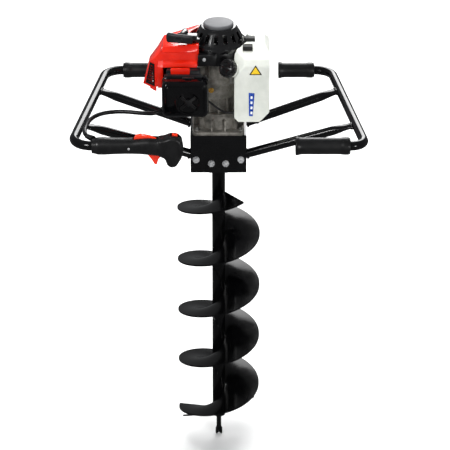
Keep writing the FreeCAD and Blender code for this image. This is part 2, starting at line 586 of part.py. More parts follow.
def build_cylinder():
    barrel = rod(28, V(HEAD_X, 0, CRANK_Z), X, FOOT_X - HEAD_X)
    fins = [rounded_block(x, x + 2, -38, 38, 957, 1033, 8, "x") for x in range(int(HEAD_X), -58, 7)]
    foot = block(FOOT_X - 6, FOOT_X, -30, 30, 963, 1027)
    ports = [block(-101, -75, -42, -20, 980, 1010), block(-101, -75, 20, 42, 980, 1010)]
    shape = joined(barrel, foot, *fins, *ports)
    bore = rod(BORE_RADIUS, V(-101, 0, CRANK_Z), X, 60)
    passages = [rod(PORT_RADIUS, V(PORT_X, y, CRANK_Z), Y, 30) for y in (-45, 15)]
    plug_hole = rod(6, V(-115, 0, CRANK_Z), X, 20)
    parts["cylinder"] = shape.cut([bore, plug_hole] + passages)

    plug = joined(rod(6, V(-112, 0, CRANK_Z), X, 11), hex_head(V(-118, 0, CRANK_Z), X, 16, 6),
                  rod(4.5, V(-134, 0, CRANK_Z), X, 16), rod(3, V(-139, 0, CRANK_Z), X, 6))
    parts["spark_plug"] = plug
    boot = joined(rod(8, V(-147, 0, CRANK_Z), X, 24), rod(6.5, V(-146, 0, CRANK_Z), Z, 12))
    parts["plug_boot"] = boot.cut(plug).cut(rod(LEAD_RADIUS, LEAD[-1], LEAD[-2] - LEAD[-1], 30))
    coil = block(-88, -60, 8, 30, 1034, 1047).cut(rod(FAN_RADIUS + 0.5, Z * 1030, Z, 20))
    parts["ignition_coil"] = coil.cut(rod(LEAD_RADIUS, LEAD[0], LEAD[1] - LEAD[0], 20))

    muffler = rounded_block(-128, -60, 44.5, 86, 958, 1030, 10, "y")
    outlet = rod(9, OUTLET, Y, 16)
    muffler = joined(muffler, outlet).cut(rod(7, OUTLET - Y * 10, Y, 40))
    parts["muffler"] = joined(muffler, block(-101, -75, 42, 45, 980, 1010))


def build_covers():
    """Cylinder cover with its louvred panel, and the guard over the muffler."""
    def hood(grow):
        """The cover's outside, grown by its wall about the middle of its outline."""
        outline = [(-44, 1092), (-128, 1088), (-141, 1068), (-160, 1046),
                   (-176, 984), (-150, 980), (-44, 980)]
        middle = (-105.0, 1020.0)
        points = [V(middle[0] + (x - middle[0]) * (1 + grow / 65), -64 - grow,
                    middle[1] + (z - middle[1]) * (1 + grow / 65)) for x, z in outline]
        shape = polygon_prism(points, Y * (128 + 2 * grow))
        slope = polygon_prism([V(-190, 66 + grow, 900), V(-48, 66 + grow, 900), V(-190, -40 + grow, 900)],
                              Z * 250)
        return shape.cut([slope, beyond_facet(grow)])

    def facet(u, out, z):
        """A point on the slanted facet at the cover's front left corner, or out from it."""
        return FACET_START + FACET_ALONG * u + FACET_OUT * out + Z * z

    def beyond_facet(grow):
        return polygon_prism([facet(-60, grow, 900), facet(120, grow, 900), facet(120, 100, 900),
                              facet(-60, 100, 900)], Z * 250)

    def facet_prism(corners, inside, outside):
        return polygon_prism([facet(u, inside, z) for u, z in corners], FACET_OUT * (outside - inside))

    outer = hood(2.5)
    lip = polygon_prism([V(-50, -66, 1043), V(-50, -78, 1043), V(-50, -75, 1052), V(-50, -66, 1058)], X * -80)
    lip_side = polygon_prism([V(-130, -66, 982), V(-130, -74, 986), V(-130, -76, 1043), V(-130, -66, 1056)],
                             X * -12)
    bead = polygon_prism([V(-50, -66, 1076), V(-50, -71, 1079), V(-50, -66, 1090)], X * -82)
    window = facet_prism([(7, 996), (29, 996), (15, 1040), (7, 1040)], -8, 8)
    shroud = joined(outer, lip, lip_side, bead)
    openings = [hood(0),
                block(-128, -30, -90, -50, 940, 1042.9),
                block(-200, -30, -50, 80, 940, 984),
                block(-146, -30, -80, 80, 940, 990),
                block(-150, -30, -14, 80, 940, 1040),
                block(-46, -20, -90, 90, 940, 1110),
                rod(FAN_RADIUS + 2.5, Z * 930, Z, 180),
                window]
    body = shroud.cut(openings).cut([parts["starter_housing"], parts["fan_housing"]])
    parts["cylinder_cover"] = max(body.Solids, key=lambda s: s.Volume)

    frame = facet_prism([(3, 990), (36, 990), (18.5, 1046), (3, 1046)], 2.5, 4)
    frame = frame.cut(facet_prism([(6.5, 996), (29.5, 996), (15.5, 1040.5), (6.5, 1040.5)], 0, 8))
    slats = []
    for z in range(997, 1038, 6):
        reach = 34 - (z - 990) * 0.32
        slats.append(facet_prism([(4, z), (reach, z), (reach - 1, z + 3), (4, z + 3)], 1, 3.5))
    panel = joined(frame, *slats)
    panel = panel.cut(parts["cylinder_cover"])
    guard = rounded_block(-134, -54, 89, 92, 952, 1034, 8, "y")
    side = block(-134, -131.5, 60, 90, 960, 1026)
    holes = [block(-126, -62, 80, 100, z, z + 5) for z in range(978, 1028, 9)]
    hole = rod(12, OUTLET, Y, 20)
    legs = [block(-60.5, -56, 82, 90, 985, 1005), block(-134, -127, 60, 62, 985, 1005)]
    guard = joined(guard, side, *legs).cut(holes + [hole, parts["muffler"]])
    parts["muffler_guard"] = Part.makeCompound(guard.Solids + panel.Solids)


def build_starter():
    floor = FAN_FLOOR
    wall = revolved([(20, floor), (FAN_RADIUS, floor), (FAN_RADIUS, STARTER_FLOOR), (62, STARTER_FLOOR),
                     (62, floor + 3), (20, floor + 3)])
    lug = block(-48, -6, -76, -52, 1046, STARTER_FLOOR).cut(rod(63, Z * 1040, Z, 40))
    duct = block(-80, -40, -34, 34, floor + 4, STARTER_FLOOR - 3)
    parts["fan_housing"] = joined(wall, lug).cut([duct, rod(2.5, V(-33, -80, 1062), Y, 20)])

    dome = revolved([(STARTER_RADIUS, STARTER_FLOOR), (STARTER_RADIUS, 1080), (66, 1084), (61, 1086),
                     (45, 1115), (41, DISC_BOTTOM), (0, DISC_BOTTOM), (0, 1078), (6, 1078),
                     (6, DISC_BOTTOM - 4.5), (38.5, DISC_BOTTOM - 4.5), (57, 1083), (62, 1081),
                     (62, STARTER_FLOOR)])
    window = block(45, 61, -4.8, 4.8, 1091, 1110)
    windows = [turned(window, ORIGIN, Z, a) for a in range(0, 360, 24)]
    out = V(math.cos(math.radians(PULL_DEG)), math.sin(math.radians(PULL_DEG)), 0)
    eye = STARTER_GRIP - out * 13
    eye_block = rod(8, eye, out * -1, 34)
    skirt = rod(60, Z * 1080, Z, 40)
    snout = joined(eye_block, block(-96, -50, -58, -36, 1102, 1114)).cut(skirt)
    snout = joined(snout, block(-74, -44, -50, -30, 1082, 1103).cut(rod(58.5, Z * 1070, Z, 44)))
    dome = joined(dome.cut(windows), snout)
    parts["starter_housing"] = dome.cut(rod(2.6, eye + out * 5, out * -1, 60))
    parts["starter_disc"] = revolved([(0, DISC_BOTTOM), (36, DISC_BOTTOM), (36, DISC_TOP - 2.5),
                                      (33.5, DISC_TOP), (0, DISC_TOP)])

    parts["rope_pulley"] = revolved([(6 + RUNNING, 1086), (31, 1086), (31, 1088), (23, 1089), (23, 1095),
                                     (31, 1096), (31, 1098), (6 + RUNNING, 1098)])
    parts["starter_rope"] = ring(29.5, 23, Z * 1089.2, Z, 5.6)

    side = V(-out.y, out.x, 0)
    half = 31.5
    grip = [(-half, 9.5), (-half + 4, 10.5), (half - 4, 12), (half, 10.5)]
    outline = [STARTER_GRIP + side * -a + Z * h for a, h in grip]
    outline += [STARTER_GRIP + side * -a - Z * h for a, h in reversed(grip)]
    outline = [p - out * 6 for p in outline]
    bar = polygon_prism(outline, out * 12)
    bar = joined(bar, rod(9, STARTER_GRIP + out * 5, out, 4), rod(5, STARTER_GRIP - out * 12, out, 8))
    rope_end = rod(2.2, STARTER_GRIP - out * 12, out * -1, 16)
    parts["starter_handle"] = Part.makeCompound([bar, rope_end])


def build_tank():
    """Blow-moulded tank, hollow, with its filler neck on a slanted shoulder."""
    normal = V(CAP_AXIS).normalize()

    def body(s):
        """The tank's outside, with every face moved in by s."""
        left, right = TANK_X[0] + s, TANK_X[1] - s
        near, far = TANK_Y[0] + s, TANK_Y[1] - s
        bottom, top = TANK_Z[0] + s, TANK_Z[1] - s
        outline = [V(left, near, bottom + 10), V(left + 9, near, bottom), V(right - 22, near, bottom),
                   V(right, near, bottom + 24), V(right, near, top - 14), V(right - 12, near, top),
                   V(left, near, top)]
        front = polygon_prism(outline, Y * (far - near))
        side = [V(30, near, 905), V(30, near, top - 38), V(30, near + 9, top - 22), V(30, -40, top),
                V(30, far - 12, top), V(30, far, top - 14), V(30, far, 905)]
        shape = front.common(polygon_prism(side, X * 100))
        u = normal.cross(Z).normalize() * 200
        w = normal.cross(u).normalize() * 200
        middle = SHOULDER - normal * s
        slab = polygon_prism([middle + u + w, middle - u + w, middle - u - w, middle + u - w], normal * 200)
        return shape.cut([slab, rod(FAN_RADIUS + 3.5 + s, Z * 880, Z, 260)])

    base = CAP_CENTRE - normal * (CAP_LENGTH / 2)
    outer = body(0)
    boss = rod(18, base - normal * 20, normal, 18).cut(rod(FAN_RADIUS + 2, Z * 1030, Z, 60))
    neck = rod(15, base - normal * 3, normal, 11)
    hose_hole = rod(4.2, HOSE_OUTLET, X, 20)
    filler = rod(12, base - normal * 14, normal, 40)
    tank = joined(outer, boss, neck).cut([body(TANK_WALL), filler, hose_hole])
    parts["fuel_tank"] = max(tank.Solids, key=lambda s: s.Volume)

    ribs = []
    tilt = FreeCAD.Rotation(Z, normal)
    for a in range(0, 360, 20):
        rib = polygon_prism([V(19, -1.7, 1), V(22.3, -1.2, 1), V(22.3, 1.2, 1), V(19, 1.7, 1)],
                            Z * (CAP_LENGTH - 3))
        rib = turned(rib, ORIGIN, Z, a)
        rib.Placement = FreeCAD.Placement(base, tilt).multiply(rib.Placement)
        ribs.append(rib)
    bar = block(-17, 17, -3, 3, CAP_LENGTH, CAP_LENGTH + 3)
    bar.Placement = FreeCAD.Placement(base, tilt).multiply(bar.Placement)
    cap = joined(rod(21, base, normal, CAP_LENGTH), bar, *ribs)
    parts["fuel_cap"] = cap.cut(rod(15.4, base - normal, normal, CAP_LENGTH - 3))

    clips = [block(64, 86, -32, -12, 1090, 1098), block(60, 70, -28, -16, 1085, 1098)]
    upper = joined(*clips).cut([parts["fuel_tank"], rod(STARTER_RADIUS - 6, Z * 1070, Z, 60)])
    lower = block(57, 80, -66, -46, 1080, 1090)
    lower = lower.cut([parts["fuel_tank"], rod(STARTER_RADIUS, Z * 1070, Z, 60)])
    shelf = joined(rounded_block(40, 104, -78, 24, 905, 910.5, 8, "z"), block(84, 96, -70, -56, 896, 906))
    shelf = shelf.cut(rod(50.2, Z * 900, Z, 20))
    pads = [rod(9, V(60, -60, 910.5), Z, 1.5), rod(9, V(90, 5, 910.5), Z, 1.5)]
    grommet = ring(7.0, 4.1, HOSE_OUTLET + V(4.4, 0, -0.8), X, 2.5)
    parts["tank_mounts"] = Part.makeCompound([upper, lower.Solids[0], grommet] + pads)
    arm = block(44, 60, -10, 10, 905, 910.5)
    parts["tank_bracket"] = joined(shelf, arm).cut(rod(50.2, Z * 900, Z, 20))


def build_carburettor():
    port = V(PORT_X, 0, CRANK_Z)
    flange = block(-101, -75, -48, -42, 980, 1010)
    parts["intake_insulator"] = flange.cut(rod(PORT_RADIUS, port - Y * 50, Y, 10))

    body = joined(block(-106, -70, -73, -48, 974, 1016), rod(7, V(-112, -62, 980), X, 8),
                  rod(4, V(-70, -62, 974), X, 7), rod(10, V(PORT_X, -60, 966), Z, 9),
                  rod(6, V(-98, -60, 1016), Z, 4))
    cable_end = (CABLE[-2] - CABLE[-1]).normalize()
    cable_seat = rod(CABLE_RADIUS + 0.1, CABLE[-1] - cable_end * 2, cable_end, 30)
    hose_seat = rod(HOSE_RADIUS, FUEL_LINE[-1], FUEL_LINE[-2] - FUEL_LINE[-1], 12)
    throat = rod(PORT_RADIUS, port - Y * 80, Y, 40)
    primer_seat = rod(5 + RUNNING, V(PORT_X, -60, 960), Z, 12)
    parts["carburettor"] = body.cut([throat, primer_seat, hose_seat, cable_seat])

    bulb = revolved([(0, 955), (5, 956.5), (8, 959), (9, 962), (9, 963.5), (5, 963.5), (5, 968), (0, 968)])
    parts["primer_bulb"] = moved(bulb, V(PORT_X, -60, 0))
    parts["choke_lever"] = joined(rod(4.5, V(-60, -72.5, 1018), Y, 2),
                                  block(-62, -58, -72.5, -70.5, 1018, 1040),
                                  rod(2, V(-60, -90, 1018), Y, 18))


def build_filter():
    def slab(inset, y0, y1, radius):
        return rounded_block(FILTER_X[0] + inset, FILTER_X[1] - inset, y0, y1,
                             FILTER_Z[0] + inset, FILTER_Z[1] - inset, radius, "y")

    def on_knob(radius, y, length):
        return rod(radius, V(KNOB[0], y, KNOB[1]), Y, length)

    rear = rounded_block(-122, -42, -92, -74, 962, 1041.5, 5, "y")
    ledge = rounded_block(-126, -38, -104, -92, 1026, 1033, 3, "y")
    base = joined(slab(0, -100, -92, 12), rear, ledge, on_knob(3, -136, 44))
    throat = rod(PORT_RADIUS, V(PORT_X, -140, CRANK_Z), Y, 80)
    parts["filter_base"] = base.cut([throat, rod(2 + RUNNING, V(-60, -95, 1018), Y, 30)])

    outer = slab(0, -137, -100, 14)
    rim = [e for e in outer.Edges if abs(e.BoundBox.YMin + 137) < 0.01 and abs(e.BoundBox.YMax + 137) < 0.01]
    outer = outer.makeFillet(6, rim)
    dish_wall = on_knob(28, -136, 7.5).common(outer)
    cover = joined(outer.cut(slab(2.5, -134, -99, 11.5)), dish_wall)
    parts["filter_cover"] = cover.cut([on_knob(26, -138, 7), on_knob(3.2, -140, 40), ledge])
    parts["filter_element"] = slab(3, -127.5, -100.4, 11).cut([on_knob(4, -140, 60), ledge])

    arm = block(KNOB[0] - 22, KNOB[0] + 22, -136.5, -131.5, KNOB[1] - 3, KNOB[1] + 3)
    arms = [turned(arm, V(KNOB[0], 0, KNOB[1]), Y, a) for a in (40, 140)]
    parts["filter_knob"] = joined(on_knob(8, -137, 5.7), *arms).cut(on_knob(3 + RUNNING, -136.2, 10))


def build_cords():
    parts["throttle_cable"] = cord("throttle cable", CABLE, CABLE_RADIUS)
    parts["fuel_line"] = cord("fuel line", FUEL_LINE, HOSE_RADIUS)
    parts["ignition_lead"] = cord("ignition lead", LEAD, LEAD_RADIUS)


def main():
    build_bit()
    build_gearbox()
    build_frame()
    build_throttle()
    build_crankcase()
    build_crank_train()
    build_cylinder()
    build_starter()
    build_covers()
    build_tank()
    build_carburettor()
    build_filter()
    build_cords()
    os.makedirs("parts", exist_ok=True)
    for old in os.listdir("parts"):
        os.remove(os.path.join("parts", old))
    for name, shape in parts.items():
        shape.exportStep(os.path.join("parts", name + ".step"))


main()
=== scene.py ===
import json
import math
import bmesh
import bpy
from mathutils import Matrix, Vector


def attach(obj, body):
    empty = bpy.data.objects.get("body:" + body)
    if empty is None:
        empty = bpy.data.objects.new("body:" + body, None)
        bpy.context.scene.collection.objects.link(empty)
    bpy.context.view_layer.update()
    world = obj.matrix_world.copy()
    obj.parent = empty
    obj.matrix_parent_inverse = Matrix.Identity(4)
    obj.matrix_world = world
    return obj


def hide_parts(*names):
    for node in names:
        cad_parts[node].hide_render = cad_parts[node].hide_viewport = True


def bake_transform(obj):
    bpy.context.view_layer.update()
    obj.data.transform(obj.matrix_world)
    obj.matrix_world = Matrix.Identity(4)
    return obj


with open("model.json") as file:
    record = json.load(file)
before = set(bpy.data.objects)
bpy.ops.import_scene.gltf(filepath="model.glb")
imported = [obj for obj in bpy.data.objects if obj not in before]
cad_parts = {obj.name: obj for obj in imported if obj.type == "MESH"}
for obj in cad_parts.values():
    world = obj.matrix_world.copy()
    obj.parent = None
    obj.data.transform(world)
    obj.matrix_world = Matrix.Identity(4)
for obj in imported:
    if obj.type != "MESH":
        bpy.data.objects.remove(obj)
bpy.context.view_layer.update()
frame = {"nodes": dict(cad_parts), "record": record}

# Looks of a two-man petrol auger. Lengths are millimetres. The camera, the lamps and the sizes handed to the
# node trees are metres.
MM = 0.001
X, Y, Z = Vector((1, 0, 0)), Vector((0, 1, 0)), Vector((0, 0, 1))
BODY_OF = {node: body for body, nodes in frame["record"]["behaviour"]["bodies"].items() for node in nodes}
SLOT_OF = {row["node"]: row["material_slot"] for row in frame["record"]["subparts"]}


# ---- materials ----------------------------------------------------------------------------------
TONE_STOPS = (0.35, 0.68)     # where the dark tone ends and the light one begins
SHINE_SPAN = (0.3, 0.7)       # the part of the patches that moves the roughness
SPECK_SIZE = 2.3


def linear(code):
    """An sRGB hex colour as linear RGBA."""
    parts = [int(code[i:i + 2], 16) / 255 for i in (1, 3, 5)]
    return tuple(c / 12.92 if c <= 0.04045 else ((c + 0.055) / 1.055) ** 2.4 for c in parts) + (1.0,)


def add(tree, kind, inputs=None, **settings):
    """Adds one node, sets its properties, and fills its inputs with numbers or links."""
    node = tree.nodes.new(kind)
    for key, value in settings.items():
        setattr(node, key, value)
    for key, value in (inputs or {}).items():
        if isinstance(value, bpy.types.NodeSocket):
            tree.links.new(value, node.inputs[key])
        else:
            node.inputs[key].default_value = value
    return node


def finish(name, dark, light, patch, rough, grain, relief, spread=0.06, stretch=(1, 1, 1), kind="noise",
           specks=None, **shader):
    """A surface: two tones in patches, roughness that follows them, and a fine relief of a real grain size.
    specks is a colour and the two levels that it fades in between."""
    material = bpy.data.materials.new(name)
    material.use_nodes = True
    tree = material.node_tree
    tree.nodes.clear()
    place = add(tree, "ShaderNodeTexCoord").outputs["Object"]
    place = add(tree, "ShaderNodeMapping", {"Vector": place, "Scale": stretch}).outputs["Vector"]
    cloud = add(tree, "ShaderNodeTexNoise", {"Vector": place, "Scale": 1 / (patch * MM), "Detail": 5.0,
                                             "Roughness": 0.6}).outputs["Fac"]
    tones = add(tree, "ShaderNodeValToRGB", {"Fac": cloud})
    for element, stop, code in zip(tones.color_ramp.elements, TONE_STOPS, (dark, light)):
        element.position = stop
        element.color = linear(code)
    colour = tones.outputs["Color"]
    if kind == "cells":
        fine = add(tree, "ShaderNodeTexVoronoi", {"Vector": place, "Scale": 1 / (grain * MM)},
                   feature="SMOOTH_F1").outputs["Distance"]
    else:
        fine = add(tree, "ShaderNodeTexNoise", {"Vector": place, "Scale": 1 / (grain * MM),
                                                "Detail": 3.0}).outputs["Fac"]
    if specks:
        code, low, high = specks
        dots = add(tree, "ShaderNodeTexNoise", {"Vector": place, "Scale": 1 / (SPECK_SIZE * MM),
                                                "Detail": 6.0, "Roughness": 0.75}).outputs["Fac"]
        mask = add(tree, "ShaderNodeMapRange", {"Value": dots, "From Min": low,
                                                "From Max": high}).outputs["Result"]
        colour = add(tree, "ShaderNodeMix", {0: mask, 6: colour, 7: linear(code)},
                     data_type="RGBA").outputs[2]
    shine = add(tree, "ShaderNodeMapRange", {"Value": cloud, "From Min": SHINE_SPAN[0],
                                             "From Max": SHINE_SPAN[1], "To Min": rough - spread,
                                             "To Max": rough + spread}).outputs["Result"]
    bump = add(tree, "ShaderNodeBump", {"Height": fine, "Strength": 0.6,
                                        "Distance": relief * MM}).outputs["Normal"]
    inputs = {"Base Color": colour, "Roughness": shine, "Normal": bump}
    inputs.update({key.replace("_", " "): value for key, value in shader.items()})
    surface = add(tree, "ShaderNodeBsdfPrincipled", inputs).outputs["BSDF"]
    add(tree, "ShaderNodeOutputMaterial", {"Surface": surface})
    return material


# Powder coat: sprayed dry and baked, so it has a gloss with orange peel about 1.5 mm across.
powder_coat = finish("powder_coat_black", "#030304", "#070708", 60, 0.15, 1.6, 0.02, spread=0.04,
                     Specular_IOR_Level=0.4, Coat_Weight=0.15, Coat_Roughness=0.05)
# The bit's coat is thinner and has been dragged through packaging: dusty rubs.
bit_coat = finish("powder_coat_bit", "#020203", "#050506", 25, 0.17, 1.6, 0.015, spread=0.04,
                  specks=("#121211", 0.74, 0.86), Specular_IOR_Level=0.3)
blade_paint = finish("painted_tool_steel", "#0b0b0c", "#1a1a1a", 14, 0.36, 1.0, 0.04, spread=0.1,
                     specks=("#4b4a47", 0.64, 0.76), Specular_IOR_Level=0.35)
# Zinc plate: electroplated, bright with a faint bluish bloom.
zinc = finish("zinc_plate", "#c6c8cb", "#ebebea", 6, 0.3, 0.8, 0.01, spread=0.09, Metallic=0.6)
# EPDM grips: moulded in a spark-eroded tool, so they have a fine leathery skin.
grip_rubber = finish("moulded_rubber", "#070708", "#101011", 30, 0.36, 1.1, 0.05, kind="cells",
                     Specular_IOR_Level=0.6)
# Glass-filled nylon: the handle shells, with a spark-eroded satin.
nylon = finish("glass_filled_nylon", "#09090a", "#131314", 22, 0.36, 0.9, 0.05, kind="cells",
               Specular_IOR_Level=0.5)
conduit = finish("extruded_pvc_sleeve", "#09090a", "#131314", 12, 0.33, 3.0, 0.03, Specular_IOR_Level=0.35)
# Die-cast aluminium: grey with flow marks and a sandy skin.
cast_grey = finish("die_cast_grey", "#6b6862", "#a09c94", 16, 0.5, 0.9, 0.09, spread=0.1,
                   specks=("#2b2b29", 0.58, 0.72),
                   Metallic=0.55)
cast_light = finish("die_cast_aluminium", "#8f8f8c", "#b4b3af", 15, 0.42, 0.9, 0.08, spread=0.1,
                    specks=("#5c5b58", 0.62, 0.78), Metallic=0.9)
carb_zinc = finish("zinc_die_casting", "#8d887c", "#b5afa0", 9, 0.36, 0.7, 0.04, Metallic=0.95)
# Turned and ground steel: fine marks round the axis, so the pattern is squeezed along Z.
ground_steel = finish("ground_steel", "#9a9ba0", "#c3c4c8", 6, 0.22, 1.0, 0.02, stretch=(1, 1, 6),
                      Metallic=1.0)
gear_steel = finish("hobbed_steel", "#6d6a66", "#97938c", 7, 0.34, 0.8, 0.03, spread=0.1, Metallic=1.0)
dark_steel = finish("heat_proof_paint", "#191817", "#302d2a", 10, 0.55, 0.9, 0.06, spread=0.1,
                    specks=("#5a4634", 0.64, 0.8), Metallic=0.4)
guard_black = finish("moulded_guard_black", "#09090a", "#131314", 25, 0.34, 1.0, 0.04, kind="cells",
                     Specular_IOR_Level=0.4)
# ABS in a polished tool: deep gloss, with hardly any texture and slight sink marks.
cover_red = finish("moulded_abs_red", "#da1602", "#ee2404", 60, 0.22, 14.0, 0.25, spread=0.04,
                   Coat_Weight=0.4, Coat_Roughness=0.08)
starter_black = finish("moulded_abs_black", "#050506", "#0b0b0c", 30, 0.2, 12.0, 0.1, spread=0.04,
                       Specular_IOR_Level=0.7, Coat_Weight=0.5, Coat_Roughness=0.1)
disc_grey = finish("satin_moulding_grey", "#4a4b4d", "#5f6062", 26, 0.5, 0.8, 0.05, kind="cells")
# Blow-moulded HDPE: milky and waxy, light passes a few millimetres into it.
tank_white = finish("blow_moulded_hdpe", "#cdd0c8", "#dee0d9", 45, 0.34, 5.0, 0.06, spread=0.06,
                    Subsurface_Weight=0.5, Subsurface_Scale=0.006, Subsurface_Radius=(1.0, 0.95, 0.85))
mount_rubber = finish("soft_mount_rubber", "#0d0d0d", "#181818", 8, 0.55, 0.8, 0.05)
phenolic = finish("phenolic_board", "#2c1a0f", "#4a2d1a", 6, 0.5, 0.5, 0.03, stretch=(1, 5, 1))
filter_grey = finish("moulded_polypropylene", "#131315", "#202022", 20, 0.38, 1.0, 0.04, kind="cells",
                     Specular_IOR_Level=0.4)
foam = finish("oiled_foam", "#23241e", "#4a4a3c", 5, 0.85, 1.6, 0.9, kind="cells")
filter_gloss = finish("gloss_moulding_black", "#030304", "#060607", 40, 0.15, 10.0, 0.12, spread=0.04,
                      Specular_IOR_Level=0.35, Coat_Weight=0.15, Coat_Roughness=0.05)
hose = finish("nitrile_hose", "#121212", "#1f1f1f", 9, 0.4, 1.2, 0.03)
handle_black = finish("moulded_pull_handle", "#161618", "#242427", 18, 0.4, 0.9, 0.05, kind="cells",
                      Specular_IOR_Level=0.4)
# Nylon rope: strands about a millimetre wide wind round it.
rope = finish("braided_nylon", "#1b1b1c", "#3a3a3c", 1.6, 0.75, 1.0, 0.25, stretch=(1, 1, 1.6), kind="cells")
trigger_red = finish("moulded_acetal_red", "#d5260c", "#ef3a14", 30, 0.26, 1.6, 0.02, spread=0.04,
                     Coat_Weight=0.3)
clear_bulb = finish("clear_moulded_rubber", "#8c8a78", "#b9b7a6", 8, 0.2, 2.0, 0.03, Transmission_Weight=0.55,
                    IOR=1.45)
cap_black = finish("moulded_cap_black", "#080809", "#121213", 15, 0.27, 1.0, 0.03, Coat_Weight=0.15,
                   Coat_Roughness=0.1)
brass = finish("turned_brass", "#b98834", "#e2b65c", 5, 0.3, 0.7, 0.02, Metallic=0.7)
label_yellow = finish("printed_vinyl_yellow", "#e8bd12", "#f4cf2b", 12, 0.3, 1.5, 0.01)
label_black = finish("printed_vinyl_black", "#101010", "#1b1b1b", 12, 0.35, 1.5, 0.01)
label_blue = finish("printed_vinyl_blue", "#16398f", "#2450b4", 9, 0.3, 1.5, 0.01)
label_white = finish("printed_vinyl_white", "#e9ecef", "#f8f9fa", 12, 0.3, 1.5, 0.01)
floor_paint = finish("studio_paper", "#f4f4f3", "#fafaf9", 900, 0.9, 40, 0.1)

NODE_MATERIALS = {
    "frame_gloss_black": powder_coat, "zinc_fasteners": zinc, "grip_rubber": grip_rubber,
    "handle_nylon": nylon, "conduit_black": conduit, "cast_aluminium": cast_light,
    "bearing_steel": ground_steel, "cast_grey": cast_grey, "steel_bright": ground_steel,
    "steel_dark": dark_steel, "guard_black": guard_black, "cover_red": cover_red,
    "starter_black": starter_black, "disc_grey": disc_grey, "tank_white": tank_white,
    "mount_rubber": mount_rubber, "insulator_phenolic": phenolic, "carburettor_zinc": carb_zinc,
    "filter_grey": filter_grey, "filter_foam": foam, "filter_gloss_black": filter_gloss, "fuel_hose": hose,
    "bit_black": bit_coat, "blade_black": blade_paint, "gear_steel": gear_steel,
    "starter_handle_black": handle_black, "rope_nylon": rope, "trigger_red": trigger_red,
    "primer_clear": clear_bulb, "cap_black": cap_black}
for name, node in frame["nodes"].items():
    node.data.materials.clear()
    node.data.materials.append(NODE_MATERIALS[SLOT_OF[name]])


# ---- mesh helpers -------------------------------------------------------------------------------
CORNER, SOFT_CORNER, MOULDED_CORNER = 34, 40, 50     # degrees; a sharper edge than this stays crisp
BEVEL_ANGLE = 32
SAME_POINT, NO_LENGTH = 0.01, 0.005
CAD_SAME_POINT, CAD_FLAT = 0.02, 1.5                 # millimetres and degrees
SIDE_SHARE = 0.48                                    # how much of a side one rounded corner may take


def rounded(points, radius, steps=4):
    """A closed outline of 2-D points with its corners rounded; a point's third number is its own radius."""
    out = []
    count = len(points)
    for i, point in enumerate(points):
        here = Vector(point[:2])
        before = Vector(points[i - 1][:2]) - here
        after = Vector(points[(i + 1) % count][:2]) - here
        reach = min(point[2] if len(point) > 2 else radius, before.length * SIDE_SHARE,
                    after.length * SIDE_SHARE)
        start = here + before.normalized() * reach
        end = here + after.normalized() * reach
        for k in range(steps + 1):
            t = k / steps
            out.append(start * (1 - t) ** 2 + here * (2 * t * (1 - t)) + end * t ** 2)
    return out


def loft(shape, rings, closed=False):
    """Skins rings of equal length. closed joins the last ring to the first; otherwise the ends are capped."""
    made = [[shape.verts.new(p) for p in ring] for ring in rings]
    pairs = list(zip(made, made[1:]))
    if closed:
        pairs.append((made[-1], made[0]))
    for a, b in pairs:
        for i in range(len(a)):
            k = (i + 1) % len(a)
            shape.faces.new((a[i], a[k], b[k], b[i]))
    if not closed:
        shape.faces.new(made[0][::-1])
        shape.faces.new(made[-1])
    return shape


def frame_of(axis):
    """Two directions square to an axis."""
    axis = Vector(axis).normalized()
    side = axis.cross(Z if abs(axis.z) < 0.9 else X).normalized()
    return axis, side, axis.cross(side)


def lathe(shape, outline, centre, axis, steps, closed=True):
    """Turns an outline of (radius, height) points about an axis through centre."""
    axis, side, up = frame_of(axis)
    made = []
    for k in range(steps):
        a = 2 * math.pi * k / steps
        out = side * math.cos(a) + up * math.sin(a)
        made.append([shape.verts.new(Vector(centre) + out * r + axis * h) for r, h in outline])
    count = len(outline)
    for k in range(steps):
        a, b = made[k], made[(k + 1) % steps]
        for i in range(count if closed else count - 1):
            j = (i + 1) % count
            shape.faces.new((a[i], a[j], b[j], b[i]))
    return shape


def prism(shape, points, along):
    """A straight extrusion of a closed outline of 3-D points."""
    return loft(shape, [points, [Vector(p) + Vector(along) for p in points]])


def tidy(shape):
    """Merges doubled points and turns every face outwards."""
    bmesh.ops.remove_doubles(shape, verts=shape.verts, dist=SAME_POINT)
    bmesh.ops.dissolve_degenerate(shape, edges=shape.edges, dist=NO_LENGTH)
    bmesh.ops.recalc_face_normals(shape, faces=shape.faces)


def mesh_object(name, shape, material, corner=CORNER):
    """A finished mesh in metres, with its edges sharper than corner degrees kept."""
    tidy(shape)
    mesh = bpy.data.meshes.new(name)
    bmesh.ops.scale(shape, vec=(MM, MM, MM), verts=shape.verts)
    shape.to_mesh(mesh)
    shape.free()
    mesh.materials.append(material)
    smooth(mesh, corner)
    thing = bpy.data.objects.new(name, mesh)
    bpy.context.scene.collection.objects.link(thing)
    return thing


def smooth(mesh, corner=CORNER):
    """Shades a mesh smooth, with its sharp edges kept."""
    for face in mesh.polygons:
        face.use_smooth = True
    mesh.set_sharp_from_angle(angle=math.radians(corner))


def applied(thing, corner=CORNER):
    """Turns an object's modifiers into plain mesh."""
    ready = thing.evaluated_get(bpy.context.evaluated_depsgraph_get())
    mesh = bpy.data.meshes.new_from_object(ready)
    thing.modifiers.clear()
    thing.data = mesh
    smooth(mesh, corner)
    return thing


def piece(thing, body, slot, *nodes):
    """Rides a finished piece on its body and hides the CAD nodes that it stands for. The slot is not used."""
    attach(thing, body)
    if nodes:
        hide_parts(*nodes)
    return thing


